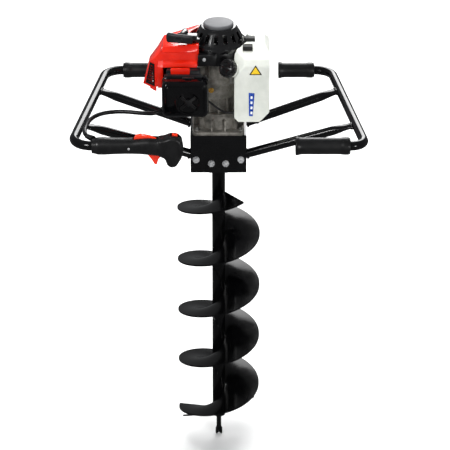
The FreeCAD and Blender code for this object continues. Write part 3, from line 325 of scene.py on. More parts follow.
def bevelled(thing, width, steps=2):
    """Rounds an object's sharp edges."""
    bevel = thing.modifiers.new("bevel", "BEVEL")
    bevel.width = width * MM
    bevel.segments = steps
    bevel.limit_method = "ANGLE"
    bevel.angle_limit = math.radians(BEVEL_ANGLE)
    bevel.use_clamp_overlap = True
    return applied(thing, SOFT_CORNER)


def eased(node, width, steps=2):
    """A copy of a CAD node whose sharp edges are rounded, as a moulding's or a casting's are."""
    shape = bmesh.new()
    shape.from_mesh(frame["nodes"][node].data)
    bmesh.ops.scale(shape, vec=(1 / MM, 1 / MM, 1 / MM), verts=shape.verts)
    bmesh.ops.remove_doubles(shape, verts=shape.verts, dist=CAD_SAME_POINT)
    bmesh.ops.dissolve_limit(shape, angle_limit=math.radians(CAD_FLAT), verts=shape.verts, edges=shape.edges)
    thing = mesh_object(node + "_finished", shape, NODE_MATERIALS[SLOT_OF[node]])
    bevelled(thing, width, steps)
    return piece(thing, BODY_OF[node], SLOT_OF[node], node)


def melted(thing, voxel, rounds, cutters=()):
    """Merges overlapping lumps into one skin with soft corners, then cuts crisp recesses in it."""
    remesh = thing.modifiers.new("skin", "REMESH")
    remesh.mode = "VOXEL"
    remesh.voxel_size = voxel * MM
    ease = thing.modifiers.new("ease", "SMOOTH")
    ease.factor = 0.5
    ease.iterations = rounds
    for cutter in cutters:
        cut = thing.modifiers.new("cut", "BOOLEAN")
        cut.operation = "DIFFERENCE"
        cut.solver = "EXACT"
        cut.object = cutter
    applied(thing, MOULDED_CORNER)
    for cutter in cutters:
        bpy.data.objects.remove(cutter)
    return thing


def brick(shape, x0, x1, y0, y1, z0, z1):
    """A box between six planes."""
    return prism(shape, [Vector((x0, y0, z0)), Vector((x1, y0, z0)), Vector((x1, y1, z0)),
                         Vector((x0, y1, z0))],
                 (0, 0, z1 - z0))


# ---- geometry node trees for what repeats --------------------------------------------------------
SPIRAL_STEPS = 48
SMALL_LUMP, LARGE_LUMP = (0.75, 0.8, 0.75), (1.15, 1.2, 1.15)


def new_tree(name, sizes):
    """A geometry node tree with a number input for each size, an object to repeat and a material."""
    tree = bpy.data.node_groups.new(name, "GeometryNodeTree")
    for label, kind in sizes:
        tree.interface.new_socket(label, in_out="INPUT", socket_type=kind)
    tree.interface.new_socket("Item", in_out="INPUT", socket_type="NodeSocketObject")
    tree.interface.new_socket("Finish", in_out="INPUT", socket_type="NodeSocketMaterial")
    tree.interface.new_socket("Geometry", in_out="OUTPUT", socket_type="NodeSocketGeometry")
    return tree, add(tree, "NodeGroupInput").outputs


def close_tree(tree, inputs, points, rotation, scale):
    """Sets the item on the points and makes real mesh of it."""
    item = add(tree, "GeometryNodeObjectInfo", {"Object": inputs["Item"]}).outputs["Geometry"]
    spread = add(tree, "GeometryNodeInstanceOnPoints", {"Points": points, "Instance": item,
                                                        "Rotation": rotation,
                                                        "Scale": scale}).outputs["Instances"]
    real = add(tree, "GeometryNodeRealizeInstances", {"Geometry": spread}).outputs["Geometry"]
    painted = add(tree, "GeometryNodeSetMaterial", {"Geometry": real,
                                                    "Material": inputs["Finish"]}).outputs["Geometry"]
    add(tree, "NodeGroupOutput", {"Geometry": painted})
    return tree


def ring_tree():
    """Repeats an item round a circle, each copy turned to face outwards."""
    tree, inputs = new_tree("ring_of_items", [("Count", "NodeSocketInt"), ("Radius", "NodeSocketFloat")])
    circle = add(tree, "GeometryNodeMeshCircle", {"Vertices": inputs["Count"],
                                                  "Radius": inputs["Radius"]}).outputs["Mesh"]
    step = add(tree, "ShaderNodeMath", {0: math.tau, 1: inputs["Count"]}, operation="DIVIDE").outputs[0]
    index = add(tree, "GeometryNodeInputIndex").outputs["Index"]
    angle = add(tree, "ShaderNodeMath", {0: index, 1: step}, operation="MULTIPLY").outputs[0]
    turn = add(tree, "ShaderNodeCombineXYZ", {"Z": angle}).outputs["Vector"]
    turn = add(tree, "FunctionNodeEulerToRotation", {"Euler": turn}).outputs["Rotation"]
    return close_tree(tree, inputs, circle, turn, (1, 1, 1))


def row_tree():
    """Repeats an item along a straight line."""
    tree, inputs = new_tree("row_of_items", [("Count", "NodeSocketInt"), ("Step", "NodeSocketVector")])
    line = add(tree, "GeometryNodeMeshLine", {"Count": inputs["Count"],
                                              "Offset": inputs["Step"]}).outputs["Mesh"]
    return close_tree(tree, inputs, line, (0, 0, 0), (1, 1, 1))


def bead_tree():
    """Lays lumps of weld along a spiral; a spiral without height or turns is a ring."""
    tree, inputs = new_tree("weld_bead", [("Turns", "NodeSocketFloat"), ("Radius", "NodeSocketFloat"),
                                          ("Rise", "NodeSocketFloat"), ("Spacing", "NodeSocketFloat"),
                                          ("Seed", "NodeSocketInt")])
    spiral = add(tree, "GeometryNodeCurveSpiral", {"Resolution": SPIRAL_STEPS, "Rotations": inputs["Turns"],
                                                   "Start Radius": inputs["Radius"],
                                                   "End Radius": inputs["Radius"],
                                                   "Height": inputs["Rise"]}).outputs["Curve"]
    points = add(tree, "GeometryNodeCurveToPoints", {"Curve": spiral, "Length": inputs["Spacing"]},
                 mode="LENGTH")
    size = add(tree, "FunctionNodeRandomValue", {"Min": SMALL_LUMP, "Max": LARGE_LUMP,
                                                 "Seed": inputs["Seed"]},
               data_type="FLOAT_VECTOR").outputs["Value"]
    return close_tree(tree, inputs, points.outputs["Points"], points.outputs["Rotation"], size)


RING, ROW, BEAD = ring_tree(), row_tree(), bead_tree()


def repeated(name, tree, item, material, place, **sizes):
    """Runs one of the trees on an item, then moves the result to its place."""
    thing = bpy.data.objects.new(name, bpy.data.meshes.new(name))
    bpy.context.scene.collection.objects.link(thing)
    nodes = thing.modifiers.new("repeat", "NODES")
    nodes.node_group = tree
    sockets = {s.name: s.identifier for s in tree.interface.items_tree if s.in_out == "INPUT"}
    values = dict(sizes, Item=item, Finish=material)
    for label, value in values.items():
        nodes[sockets[label]] = value
    applied(thing, SOFT_CORNER)
    thing.data.transform(place)
    thing.data.update()
    return thing


def place_at(centre, axis):
    """The matrix that stands an item's Z on an axis at a point given in millimetres."""
    axis, side, up = frame_of(axis)
    return Matrix.Translation(Vector(centre) * MM) @ Matrix((side, up, axis)).transposed().to_4x4()


def joined(name, things):
    """Makes one object of several."""
    shape = bmesh.new()
    for thing in things:
        shape.from_mesh(thing.data)
        material = thing.data.materials[0]
        bpy.data.objects.remove(thing)
    mesh = bpy.data.meshes.new(name)
    shape.to_mesh(mesh)
    shape.free()
    mesh.materials.append(material)
    smooth(mesh, SOFT_CORNER)
    result = bpy.data.objects.new(name, mesh)
    bpy.context.scene.collection.objects.link(result)
    return result


def removed(*things):
    """Deletes objects that were only needed on the way."""
    for thing in things:
        bpy.data.objects.remove(thing)


# ---- camera, light and floor, then the cords -----------------------------------------------------
CAMERA_PLACE, CAMERA_AIM = Vector((0.0156, -5.0, 3.034)), Vector((0.0156, 0, 0.595))
LENS, SENSOR = 181.04, 36.0


def aimed(thing, place, target):
    """Puts a camera or a lamp at its place, looks it at its target, and links it."""
    thing.location = place
    thing.rotation_euler = (Vector(target) - Vector(place)).to_track_quat("-Z", "Y").to_euler()
    bpy.context.scene.collection.objects.link(thing)


camera = bpy.data.objects.new("camera", bpy.data.cameras.new("camera"))
camera.data.lens = LENS
camera.data.sensor_width = SENSOR
aimed(camera, CAMERA_PLACE, CAMERA_AIM)
bpy.context.scene.camera = camera

# Name, place, target, width in metres and power in watts.
LIGHTS = (("key", (-2.2, -3.2, 3.2), (0, 0, 0.8), 0.9, 72), ("fill", (2.2, -3.6, 1.5), (0, 0, 0.7), 0.7, 34),
          ("rim", (0.4, 2.4, 2.2), (0, 0, 0.9), 1.4, 34), ("top", (-0.3, -0.1, 3.3), (0, 0, 0.9), 1.0, 22),
          ("paper", (0, 1.5, 4.2), (0, 1.5, 0), 3.6, 190))
for name, place, target, size, power in LIGHTS:
    light = bpy.data.lights.new(name, "AREA")
    light.size = size
    light.energy = power
    lamp = bpy.data.objects.new(name, light)
    lamp.visible_glossy = name not in ("paper", "top")     # these two light it, but aren't mirrored
    aimed(lamp, place, target)

ROOM_TO_EYE, ROOM_TO_GLOSS = 0.5, 0.15
world = bpy.data.worlds.new("studio")
world.use_nodes = True
# The room is pale, but gloss mirrors it dimly, as it does between black flags.
world.node_tree.nodes.clear()
ray = add(world.node_tree, "ShaderNodeLightPath").outputs["Is Glossy Ray"]
dim = add(world.node_tree, "ShaderNodeMapRange", {"Value": ray, "To Min": ROOM_TO_EYE,
                                                  "To Max": ROOM_TO_GLOSS}).outputs["Result"]
room = add(world.node_tree, "ShaderNodeBackground", {"Color": linear("#f6f8fb"),
                                                     "Strength": dim}).outputs["Background"]
add(world.node_tree, "ShaderNodeOutputWorld", {"Surface": room})
bpy.context.scene.world = world
bpy.context.scene.view_settings.view_transform = "Standard"

HALF_FLOOR, FLOOR_THICKNESS = 20000, 2
slab = brick(bmesh.new(), -HALF_FLOOR, HALF_FLOOR, -HALF_FLOOR, HALF_FLOOR, -FLOOR_THICKNESS, 0)
floor = mesh_object("floor", slab, floor_paint)
floor.visible_glossy = False     # black flags keep the pale paper out of the gloss

# The routes are the ones that the CAD's cords follow.
CABLE = [(-288, -224, 925), (-303, -208, 925), (-311, -184, 922), (-311, -152, 922), (-304, -120, 926),
         (-286, -94, 930), (-256, -80, 931), (-222, -84, 934), (-178, -95, 934), (-146, -93, 932),
         (-124, -76, 944), (-112, -64, 966)]
FUEL_LINE = [(42, -78, 930), (24, -78, 926), (2, -74, 934), (-18, -70, 950), (-42, -66, 966), (-64, -62, 974)]
LEAD = [(-78, 22, 1043), (-92, 20, 1051), (-112, 8, 1052), (-132, -4, 1040), (-144, -3, 1020), (-146, 0, 998)]


def cord(name, points, diameter, node):
    """A cord on one smooth line through its route's points."""
    curve = bpy.data.curves.new(name, "CURVE")
    curve.dimensions = "3D"
    curve.bevel_depth = diameter / 2 * MM
    curve.bevel_resolution = 6
    curve.use_fill_caps = True
    line = curve.splines.new("NURBS")
    line.points.add(len(points) - 1)
    for target, point in zip(line.points, points):
        target.co = (*(Vector(point) * MM), 1)
    line.order_u = 3
    line.use_endpoint_u = True
    line.resolution_u = 12
    curve.materials.append(NODE_MATERIALS[SLOT_OF[node]])
    thing = bpy.data.objects.new(name, curve)
    bpy.context.scene.collection.objects.link(thing)
    piece(thing, "root", SLOT_OF[node], node)


cord("throttle_conduit", CABLE, 10, "throttle_cable")
cord("fuel_hose", FUEL_LINE, 5, "fuel_line")
cord("plug_lead", LEAD, 7, "ignition_lead")


def relief(name, base, towards, length, thick, thin, material, slot, beads=5):
    """A tapered sleeve with rings, where a cord leaves a housing."""
    wall, groove = 1.2, 0.9
    outline = [(thin - wall, 0), (thick, 0)]
    for k in range(beads):
        radius = thick + (thin - thick) * (k + 0.5) / beads
        low, high = length * (k + 0.15) / beads, length * (k + 0.62) / beads
        outline += [(radius, low), (radius, high), (radius - groove, high + 0.4),
                    (radius - groove, length * (k + 1.05) / beads)]
    outline += [(thin, length), (thin - wall, length)]
    shape = lathe(bmesh.new(), outline, base, Vector(towards) - Vector(base), 40)
    return piece(mesh_object(name, shape, material, MOULDED_CORNER), "root", slot)


relief("conduit_boot", CABLE[0], CABLE[1], 24, 7.6, 5.6, nylon, "conduit_black")
relief("conduit_adjuster", CABLE[-1], CABLE[-2], 14, 6.6, 5.5, zinc, "zinc_fasteners", 3)
relief("hose_collar", FUEL_LINE[-1], FUEL_LINE[-2], 9, 4.0, 3.4, zinc, "zinc_fasteners", 2)


# ---- the frame ----------------------------------------------------------------------------------
HANDLE_Y, HANDLE_Z = 232.0, 911.0
TUBE = 11.0                                 # the tube's radius
NEAR_CORNER, FAR_CORNER = 341.0, 278.0      # X of the loop's corners
BRACES = [((67, -57, 813), -108), ((67, 50, 848), 103)]     # where each starts on the box, and Y of its end
BRACE_SHORT = 7                             # it ends this far before the loop's middle line
WIDER, THINNER = 3.4, 5.2                   # how its round end is pressed flat
FLAT_FROM, FLAT_OVER = 0.8, 0.17            # shares of its length
BRACE_STOPS = [0, 0.2, 0.45, 0.7] + [0.76 + 0.03 * k for k in range(9)]
FRAME_LUMP, FRAME_LUMP_STEP = 2.6, 2.2


def lump(name, radius, material):
    """One drop of weld, to be repeated."""
    shape = bmesh.new()
    bmesh.ops.create_icosphere(shape, subdivisions=1, radius=radius)
    return mesh_object(name, shape, material)


eased("mounting_box", 0.8)
frame_lump = lump("blob", FRAME_LUMP, powder_coat)

brace_shape = bmesh.new()
welds = []
for side in (1, -1):
    for (bx, by, bz), wy in BRACES:
        start = Vector((side * bx, by, bz))
        end = Vector((side * (NEAR_CORNER - (wy + HANDLE_Y) * (NEAR_CORNER - FAR_CORNER) / (2 * HANDLE_Y)),
                      wy, HANDLE_Z))
        along = (end - start).normalized()
        across = along.cross(Z).normalized()
        over = across.cross(along)
        length = (end - start).length - BRACE_SHORT
        rings = []
        for t in BRACE_STOPS:
            flat = max(0.0, min(1.0, (t - FLAT_FROM) / FLAT_OVER))
            flat = flat * flat * (3 - 2 * flat)
            wide, thin = TUBE + WIDER * flat, TUBE - THINNER * flat
            centre = start + along * (length * min(t, 1.0))
            rings.append([centre + across * (wide * math.cos(a)) + over * (thin * math.sin(a))
                          for a in [math.tau * k / 40 for k in range(40)]])
        loft(brace_shape, rings)
        round_ring = place_at(start + along * 1.5, along)
        flat_ring = place_at(end - along * 10.5, along) @ Matrix.Diagonal((1.22, 0.62, 1, 1))
        for ring, radius, seed in ((round_ring, 11.6, 3), (flat_ring, 11.2, 8)):
            welds.append(repeated("weld", BEAD, frame_lump, powder_coat, ring, Turns=1.0, Radius=radius * MM,
                                  Rise=0.0, Spacing=FRAME_LUMP_STEP * MM, Seed=seed))
braces = mesh_object("brace_tubes_flattened", brace_shape, powder_coat)
piece(braces, "root", "frame_gloss_black", "brace_tubes")
piece(joined("frame_welds", welds), "root", "frame_gloss_black")


def bolt_item(flats, head, washer_radius, washer):
    """A hex flange-head bolt with a chamfered head on a washer, standing on Z = 0."""
    shape = bmesh.new()
    lathe(shape, rounded([(0.5, 0), (washer_radius, 0), (washer_radius, washer), (0.5, washer)], 0.4, 2),
          (0, 0, 0), Z, 32)
    corner = flats / 2 / math.cos(math.pi / 6)
    rings = []
    for radius, height in ((corner, washer), (corner, washer + head - 0.9),
                           (corner * 0.93, washer + head - 0.25), (corner * 0.84, washer + head)):
        rings.append([Vector((radius * math.cos(a), radius * math.sin(a), height))
                      for a in [math.tau * k / 6 for k in range(6)]])
    loft(shape, rings)
    lathe(shape, rounded([(flats * 0.22, washer + head - 0.1), (flats * 0.3, washer + head - 0.1),
                          (flats * 0.3, washer + head + 0.25), (flats * 0.22, washer + head + 0.25)], 0.1, 1),
          (0, 0, 0), Z, 24)
    return mesh_object("bolt_item", shape, zinc)


def screw_item(radius, height):
    """A pan-head screw with a cross recess, standing on Z = 0."""
    shape = bmesh.new()
    lathe(shape, [(0.0, 0), (radius, 0), (radius, height * 0.45), (radius * 0.86, height * 0.85),
                  (radius * 0.6, height), (radius * 0.3, height), (radius * 0.12, height * 0.4),
                  (0.0, height * 0.4)], (0, 0, 0), Z, 24)
    for turn in (0, math.pi / 2):
        arm = [Vector((math.cos(turn) * a - math.sin(turn) * b, math.sin(turn) * a + math.cos(turn) * b,
                       height * 0.97))
               for a, b in ((-radius * 0.55, -0.32), (radius * 0.55, -0.32), (radius * 0.55, 0.32),
                            (-radius * 0.55, 0.32))]
        prism(shape, arm, (0, 0, 0.12))
    return mesh_object("screw_item", shape, zinc)


BOLT = bolt_item(13, 5.3, 8.2, 1.5)
BOLT_PAIRS = ((-53.5, 803, 107), (-17, 793, 34))     # X and Z of the first bolt, and the way to the second
bolts = []
for y, out in ((-70, -Y), (70, Y)):
    for x, z, gap in BOLT_PAIRS:
        centre = Vector((x if out.y < 0 else -x, y, z))
        step = Vector((gap * (1 if out.y < 0 else -1), 0, 0)) * MM
        at = place_at(centre, out)
        local = at.to_3x3().inverted() @ step
        bolts.append(repeated("bolts", ROW, BOLT, zinc, at, Count=2, Step=local))
SCREW = screw_item(4.2, 2.8)
bolts.append(repeated("lug_screw", ROW, SCREW, zinc, place_at((-33, -76, 1062), -Y), Count=1,
                      Step=Vector((0, 0, 0))))
piece(joined("box_bolts", bolts), "root", "zinc_fasteners", "hex_bolts")

# Side, distance of the inner end from the middle, length, Y and radius of the flange.
GRIPS = ((1, 178, 127, -HANDLE_Y, 22), (1, 148, 90, HANDLE_Y, 20.5), (-1, 148, 90, HANDLE_Y, 20.5))
grips = bmesh.new()
for side, x0, length, y, flare in GRIPS:
    body = flare - 2.4
    outline = [(TUBE + 0.05, 0.4, 0.8), (flare - 1.4, 0, 2), (flare, 1.5, 1.2), (flare, 5.5, 1.5),
               (body + 0.7, 9, 3), (body, 16, 8)]
    outline += [(body, length - 22, 4), (body + 1, length - 16, 2), (body + 1, length - 5, 2),
                (body - 0.4, length - 3.6, 0.7), (body - 0.4, length - 2.2, 0.7),
                (body - 1.2, length - 0.6, 1), (TUBE + 0.05, length, 0.5)]
    lathe(grips, rounded(outline, 1.0, 3), (side * x0, y, HANDLE_Z), X * side, 64)
piece(mesh_object("grip_sleeves", grips, grip_rubber, 46), "root", "grip_rubber", "rubber_grips")


# ---- the throttle handle ------------------------------------------------------------------------
SECTION_POINTS = 48


def handle_section(x, wide, tall, lift=0.0, power=2.3):
    """One section of the grip: half width, half height, how far its middle sits up, and how square it is."""
    ring = []
    for k in range(SECTION_POINTS):
        a = math.tau * k / SECTION_POINTS
        c, s = math.cos(a), math.sin(a)
        ring.append(Vector((x, -HANDLE_Y + wide * math.copysign(abs(c) ** (2 / power), c),
                            HANDLE_Z + lift + tall * math.copysign(abs(s) ** (2 / power), s))))
    return ring


shells = bmesh.new()
loft(shells, [handle_section(*row) for row in (
    (-292, 15.5, 15.5), (-291, 17, 17), (-284, 17.2, 17.2), (-282.5, 18.5, 18.5), (-277, 19.8, 19.8),
    (-262, 19.6, 20), (-240, 18.6, 19, 0.2), (-215, 18.2, 18.4, 0.4), (-196, 18.4, 18.8, 0.6),
    (-180, 18.8, 20.2, 1.6), (-160, 19.4, 21.5, 1.4, 2.6), (-140, 20, 21.6, 0.0, 2.8),
    (-128, 20, 21, -1.0, 2.8))])
head_outline = [(-140, 892), (-123, 884), (-117.5, 867), (-108, 861), (-97, 864), (-84, 886), (-80, 904),
                (-84, 929), (-95, 938.5), (-112, 938.5), (-124, 933), (-140, 931)]
HEAD_X, HEAD_Z = -110, 903                  # the head's sides draw in towards this point
HEAD_RINGS = ((-251.8, 0.86), (-249, 0.95), (-245, 1.0), (-219, 1.0), (-215, 0.95), (-212.2, 0.86))
loft(shells, [[Vector((HEAD_X + (x - HEAD_X) * size, y, HEAD_Z + (z - HEAD_Z) * size))
               for x, z in rounded(head_outline, 5, 3)] for y, size in HEAD_RINGS])
shells = mesh_object("throttle_shells_moulded", shells, nylon)
# The slots for the trigger, the lever's plate and its foot, and the switch.
SLOTS = ((-168, -126, -237.5, -226.5, 866, 905), (-197, -139, -238.5, -225.5, 922.1, 948),
         (-172, -139, -238.5, -225.5, 915, 948), (-110, -90, -238, -226, 928, 945))
cutters = [mesh_object("cutter", brick(bmesh.new(), *box), nylon) for box in SLOTS]
melted(shells, 1.15, 5, cutters)
piece(shells, "root", "handle_nylon", "throttle_shell_front", "throttle_shell_rear")

# Anti-slip ribs under the grip, and the screws that hold the two shells together.
RIB_START, RIB_COUNT, RIB_STEP = -274, 17, 4.4
RIB_TAPER, RIB_TAPER_OVER = 0.075, 55       # the grip's waist is this share smaller, this far along
RIB_SECTION = ((-1.1, 0.97), (-0.7, 1.01), (0.7, 1.01), (1.1, 0.97))
rib_shape = loft(bmesh.new(), [[Vector((x, 19.6 * math.sin(a) * size, -19.9 * math.cos(a) * size))
                                for x, size in RIB_SECTION]
                               for a in [math.radians(-62 + 4 * k) for k in range(32)]])
rib = mesh_object("rib_item", rib_shape, nylon)
rib_place = Matrix.Translation(Vector((RIB_START, -HANDLE_Y, HANDLE_Z + 0.6)) * MM)
ribs = repeated("handle_ribs", ROW, rib, nylon, rib_place, Count=RIB_COUNT,
                Step=Vector((RIB_STEP, 0, 0)) * MM)
for vertex in ribs.data.vertices:
    x = vertex.co.x / MM
    shrink = 1 - RIB_TAPER * max(0.0, min(1.0, (x - RIB_START) / RIB_TAPER_OVER))
    vertex.co.y = -HANDLE_Y * MM + (vertex.co.y + HANDLE_Y * MM) * shrink
    vertex.co.z = HANDLE_Z * MM + (vertex.co.z - HANDLE_Z * MM) * shrink
piece(ribs, "root", "handle_nylon")
SMALL_SCREW = screw_item(3.0, 1.6)
handle_screws = [repeated("screw", ROW, SMALL_SCREW, zinc, place_at(at, -Y), Count=1, Step=Vector((0, 0, 0)))
                 for at in ((-98, -250.0, 876), (-92, -250.0, 918), (-122, -250.0, 922), (-206, -249.2, 911))]
piece(joined("handle_screws", handle_screws), "root", "zinc_fasteners")
for node in ("throttle_trigger", "safety_lever", "stop_switch"):
    eased(node, 0.9, 3)


# ---- the engine's castings and mouldings: each with the rounding of its edges ----------------------
for node, width in (("clutch_housing", 0.9), ("crankcase_lower", 0.7), ("crankcase_upper", 0.7),
                    ("cylinder", 0.4), ("cylinder_cover", 1.0), ("fan_housing", 0.8), ("muffler", 1.2),
                    ("muffler_guard", 0.6), ("ignition_coil", 0.8), ("tank_bracket", 0.6),
                    ("tank_mounts", 0.9), ("carburettor", 0.6), ("filter_base", 0.8), ("filter_knob", 0.8),
                    ("choke_lever", 0.4), ("cutting_blades", 0.5), ("intake_insulator", 0.3),
                    ("starter_disc", 0.8), ("starter_housing", 0.8), ("gearbox_cover", 0.5),
                    ("pilot_point", 0.4), ("plug_boot", 0.8), ("primer_bulb", 0.4)):
    eased(node, width)


# ---- the fuel tank ------------------------------------------------------------------------------
FACE_Y = -97.0                              # the tank's front face
FAN_ROOM = 71.5                             # radius that the tank leaves free round the fan housing
PARTING_X, PARTING_REACH, PARTING_HEIGHT = 79, 1.2, 0.2
CAP_AXIS = Vector((-0.632, -0.632, 0.449)).normalized()
CAP_CENTRE = Vector((22, -92, 1047))
NECK_BASE = CAP_CENTRE - CAP_AXIS * 10
# A point on each sloping face, and the way that the face looks.
TANK_SLOPES = (((37, 0, 922), (-10, 0, -9)), ((98, 0, 912), (24, 0, -22)), ((120, 0, 1076), (14, 0, 12)),
               ((0, -97, 1052), (0, -16, 9)), ((0, -88, 1068), (0, -22, 48)), ((0, 26, 1090), (0, 14, 12)),
               ((37, -97, 1020), CAP_AXIS))
block = brick(bmesh.new(), 37, 120, -97, 38, 912, 1090)
for point, normal in TANK_SLOPES:
    bmesh.ops.bisect_plane(block, geom=block.verts[:] + block.edges[:] + block.faces[:], plane_co=point,
                           plane_no=Vector(normal).normalized(), clear_outer=True)
    bmesh.ops.holes_fill(block, edges=[e for e in block.edges if e.is_boundary], sides=0)
tank = mesh_object("tank_moulding", block, tank_white)
room_shape = lathe(bmesh.new(), [(0, 880), (FAN_ROOM, 880), (FAN_ROOM, 1140), (0, 1140)], (0, 0, 0), Z, 128,
                   closed=False)
fan_room = mesh_object("fan_room", room_shape, tank_white)
cut = tank.modifiers.new("fan room", "BOOLEAN")
cut.solver = "EXACT"
cut.object = fan_room
applied(tank)
removed(fan_room)
melted(tank, 1.9, 14)
# The mould's parting line stands up as a low ridge round the middle of the tank.
for vertex in tank.data.vertices:
    if abs(vertex.co.x - PARTING_X * MM) < PARTING_REACH * MM:
        vertex.co += vertex.normal * PARTING_HEIGHT * MM
piece(tank, "root", "tank_white", "fuel_tank")
neck_outline = [(12, -12), (18, -12), (18, -2.2), (15.6, -1.6), (15.2, 7), (12, 7)]
neck = lathe(bmesh.new(), rounded(neck_outline, 0.8, 3), NECK_BASE, CAP_AXIS, 64)
piece(mesh_object("tank_neck", neck, tank_white), "root", "tank_white")

cap_outline = [(0.01, 3), (15.4, 3), (15.4, -0.6), (20.2, -0.6), (21, 1.2), (21, 15), (19.6, 18.6), (17, 20),
               (13.5, 20), (12.2, 18.6), (0.01, 18.2)]
cap_shape = lathe(bmesh.new(), rounded(cap_outline, 1.0, 3), NECK_BASE, CAP_AXIS, 72)
cap = mesh_object("cap_body", cap_shape, cap_black, MOULDED_CORNER)
TOOTH = ((-0.6, -1.7), (1.0, -1.1), (1.35, 0), (1.0, 1.1), (-0.6, 1.7))
tooth_shape = loft(bmesh.new(), [[Vector((x, w, z)) for x, w in TOOTH] for z in (1.6, 15.6)])
tooth = bevelled(mesh_object("tooth", tooth_shape, cap_black), 0.3)
teeth = repeated("teeth", RING, tooth, cap_black, place_at(NECK_BASE, CAP_AXIS), Count=20, Radius=20.8 * MM)
axis, across, over = frame_of(CAP_AXIS)
bar_rings = []
for t, wide, top in ((-16.5, 2.0, 20.6), (-14, 3.2, 22.2), (0, 2.6, 23), (14, 3.2, 22.2), (16.5, 2.0, 20.6)):
    middle = NECK_BASE + across * t
    section = rounded([(-wide, 17.6), (wide, 17.6), (wide * 0.8, top), (-wide * 0.8, top)], 0.8, 2)
    bar_rings.append([middle + over * w + axis * h for w, h in section])
bar = mesh_object("bar", loft(bmesh.new(), bar_rings), cap_black, MOULDED_CORNER)
removed(tooth)
piece(joined("tank_cap", [cap, teeth, bar]), "cap", "cap_black", "fuel_cap")


LOWER_PATCH, UPPER_PATCH = 0.25, 0.45       # how far a patch stands off the tank
PATCH_SINK = 0.35                           # and how far its back reaches into the wall


def sticker(name, points, material, lift):
    """A thin printed vinyl patch on the tank's front face."""
    patch = rounded(points, 1.2, 3)
    shape = prism(bmesh.new(), [Vector((p.x, FACE_Y - lift, p.y)) for p in patch], (0, lift + PATCH_SINK, 0))
    return piece(mesh_object(name, shape, material), "root", "tank_white")


sticker("caution_patch_rim", [(87, 1056), (72, 1032), (102, 1032)], label_black, LOWER_PATCH)
sticker("caution_patch_face", [(87, 1051.8), (76.2, 1034.2), (97.8, 1034.2)], label_yellow, UPPER_PATCH)
sticker("tank_patch_blue", [(71, 987), (85, 986), (81, 927), (72, 928)], label_blue, LOWER_PATCH)
for k in range(4):
    z = 933 + 13 * k
    sticker(f"tank_patch_white_{k}", [(75.2, z), (80, z - 0.5), (80.4, z + 6), (75.8, z + 6.5)], label_white,
            UPPER_PATCH)


# ---- the air filter's cover: a crowned lid with a bead round its rim and a dished middle ----------
KNOB = Vector((-70, 0, 977))
LID_X, LID_Z = (-132, -23), (938, 1028)
LID_CORNER, LEAST_CORNER = 14.0, 3.0
LID_POINTS, LID_REACH, HALVINGS = 120, 200.0, 22


def lid_ring(inset, y, mix=0.0, radius=28.0):
    """One ring of the lid; mix blends the rounded rectangle into a circle about the knob. The way from the
    middle to the rectangle's edge is found by halving."""
    x0, x1, z0, z1 = LID_X[0] + inset, LID_X[1] - inset, LID_Z[0] + inset, LID_Z[1] - inset
    corner = max(LEAST_CORNER, LID_CORNER - inset)
    start = Vector(((x0 + x1) / 2, 0, (z0 + z1) / 2))
    ring = []
    for k in range(LID_POINTS):
        a = math.tau * k / LID_POINTS
        out = Vector((math.cos(a), 0, math.sin(a)))
        low, high = 0.0, LID_REACH
        for _ in range(HALVINGS):
            mid = (low + high) / 2
            p = start + out * mid
            dx = abs(p.x - start.x) - ((x1 - x0) / 2 - corner)
            dz = abs(p.z - start.z) - ((z1 - z0) / 2 - corner)
            outside = math.hypot(max(dx, 0), max(dz, 0)) + min(max(dx, dz), 0) - corner
            low, high = (mid, high) if outside < 0 else (low, mid)
        square = start + out * low
        circle = KNOB + out * radius
        p = square * (1 - mix) + circle * mix
        ring.append(Vector((p.x, y, p.z)))
    return ring


# Inset and Y of each ring, from the rim over the crown into the dish; then how round it is, and its radius.
LID_ROWS = ((2.5, -100.4), (0, -100.2), (0, -104), (0.9, -104.6), (0.9, -106.4), (0, -107), (0.2, -124),
            (1.6, -130), (4.2, -134), (7.5, -135.6), (9.0, -135.9), (10.0, -134.9), (11.4, -134.9),
            (12.4, -136), (13.5, -136.2, 0.35, 32), (16, -136.6, 0.8, 30), (18, -137, 1, 28),
            (18, -136.6, 1, 26.4), (18, -131.6, 1, 25.6), (18, -131.2, 1, 24.6), (18, -131.2, 1, 4),
            (18, -128.6, 1, 4), (4, -128.6), (2.6, -124))
lid = loft(bmesh.new(), [lid_ring(*row) for row in LID_ROWS], closed=True)
piece(mesh_object("filter_lid", lid, filter_gloss, 38), "root", "filter_gloss_black", "filter_cover")
clip = bmesh.new()
brick(clip, -84, -56, -112, -101, 1028.2, 1030.6)
brick(clip, -78, -62, -116, -108, 1028.6, 1032.2)
piece(bevelled(mesh_object("filter_clip", clip, filter_grey), 0.7), "root", "filter_grey")


# ---- the pull handle of the starter, and the run of rope to it ------------------------------------
GRIP = Vector((-90, -84, 1118))
PULL_WAY = math.radians(254.4)
OUT = Vector((math.cos(PULL_WAY), math.sin(PULL_WAY), 0))
SIDE = Vector((-OUT.y, OUT.x, 0))
GRIP_POINTS, GRIP_SQUARENESS = 32, 0.6
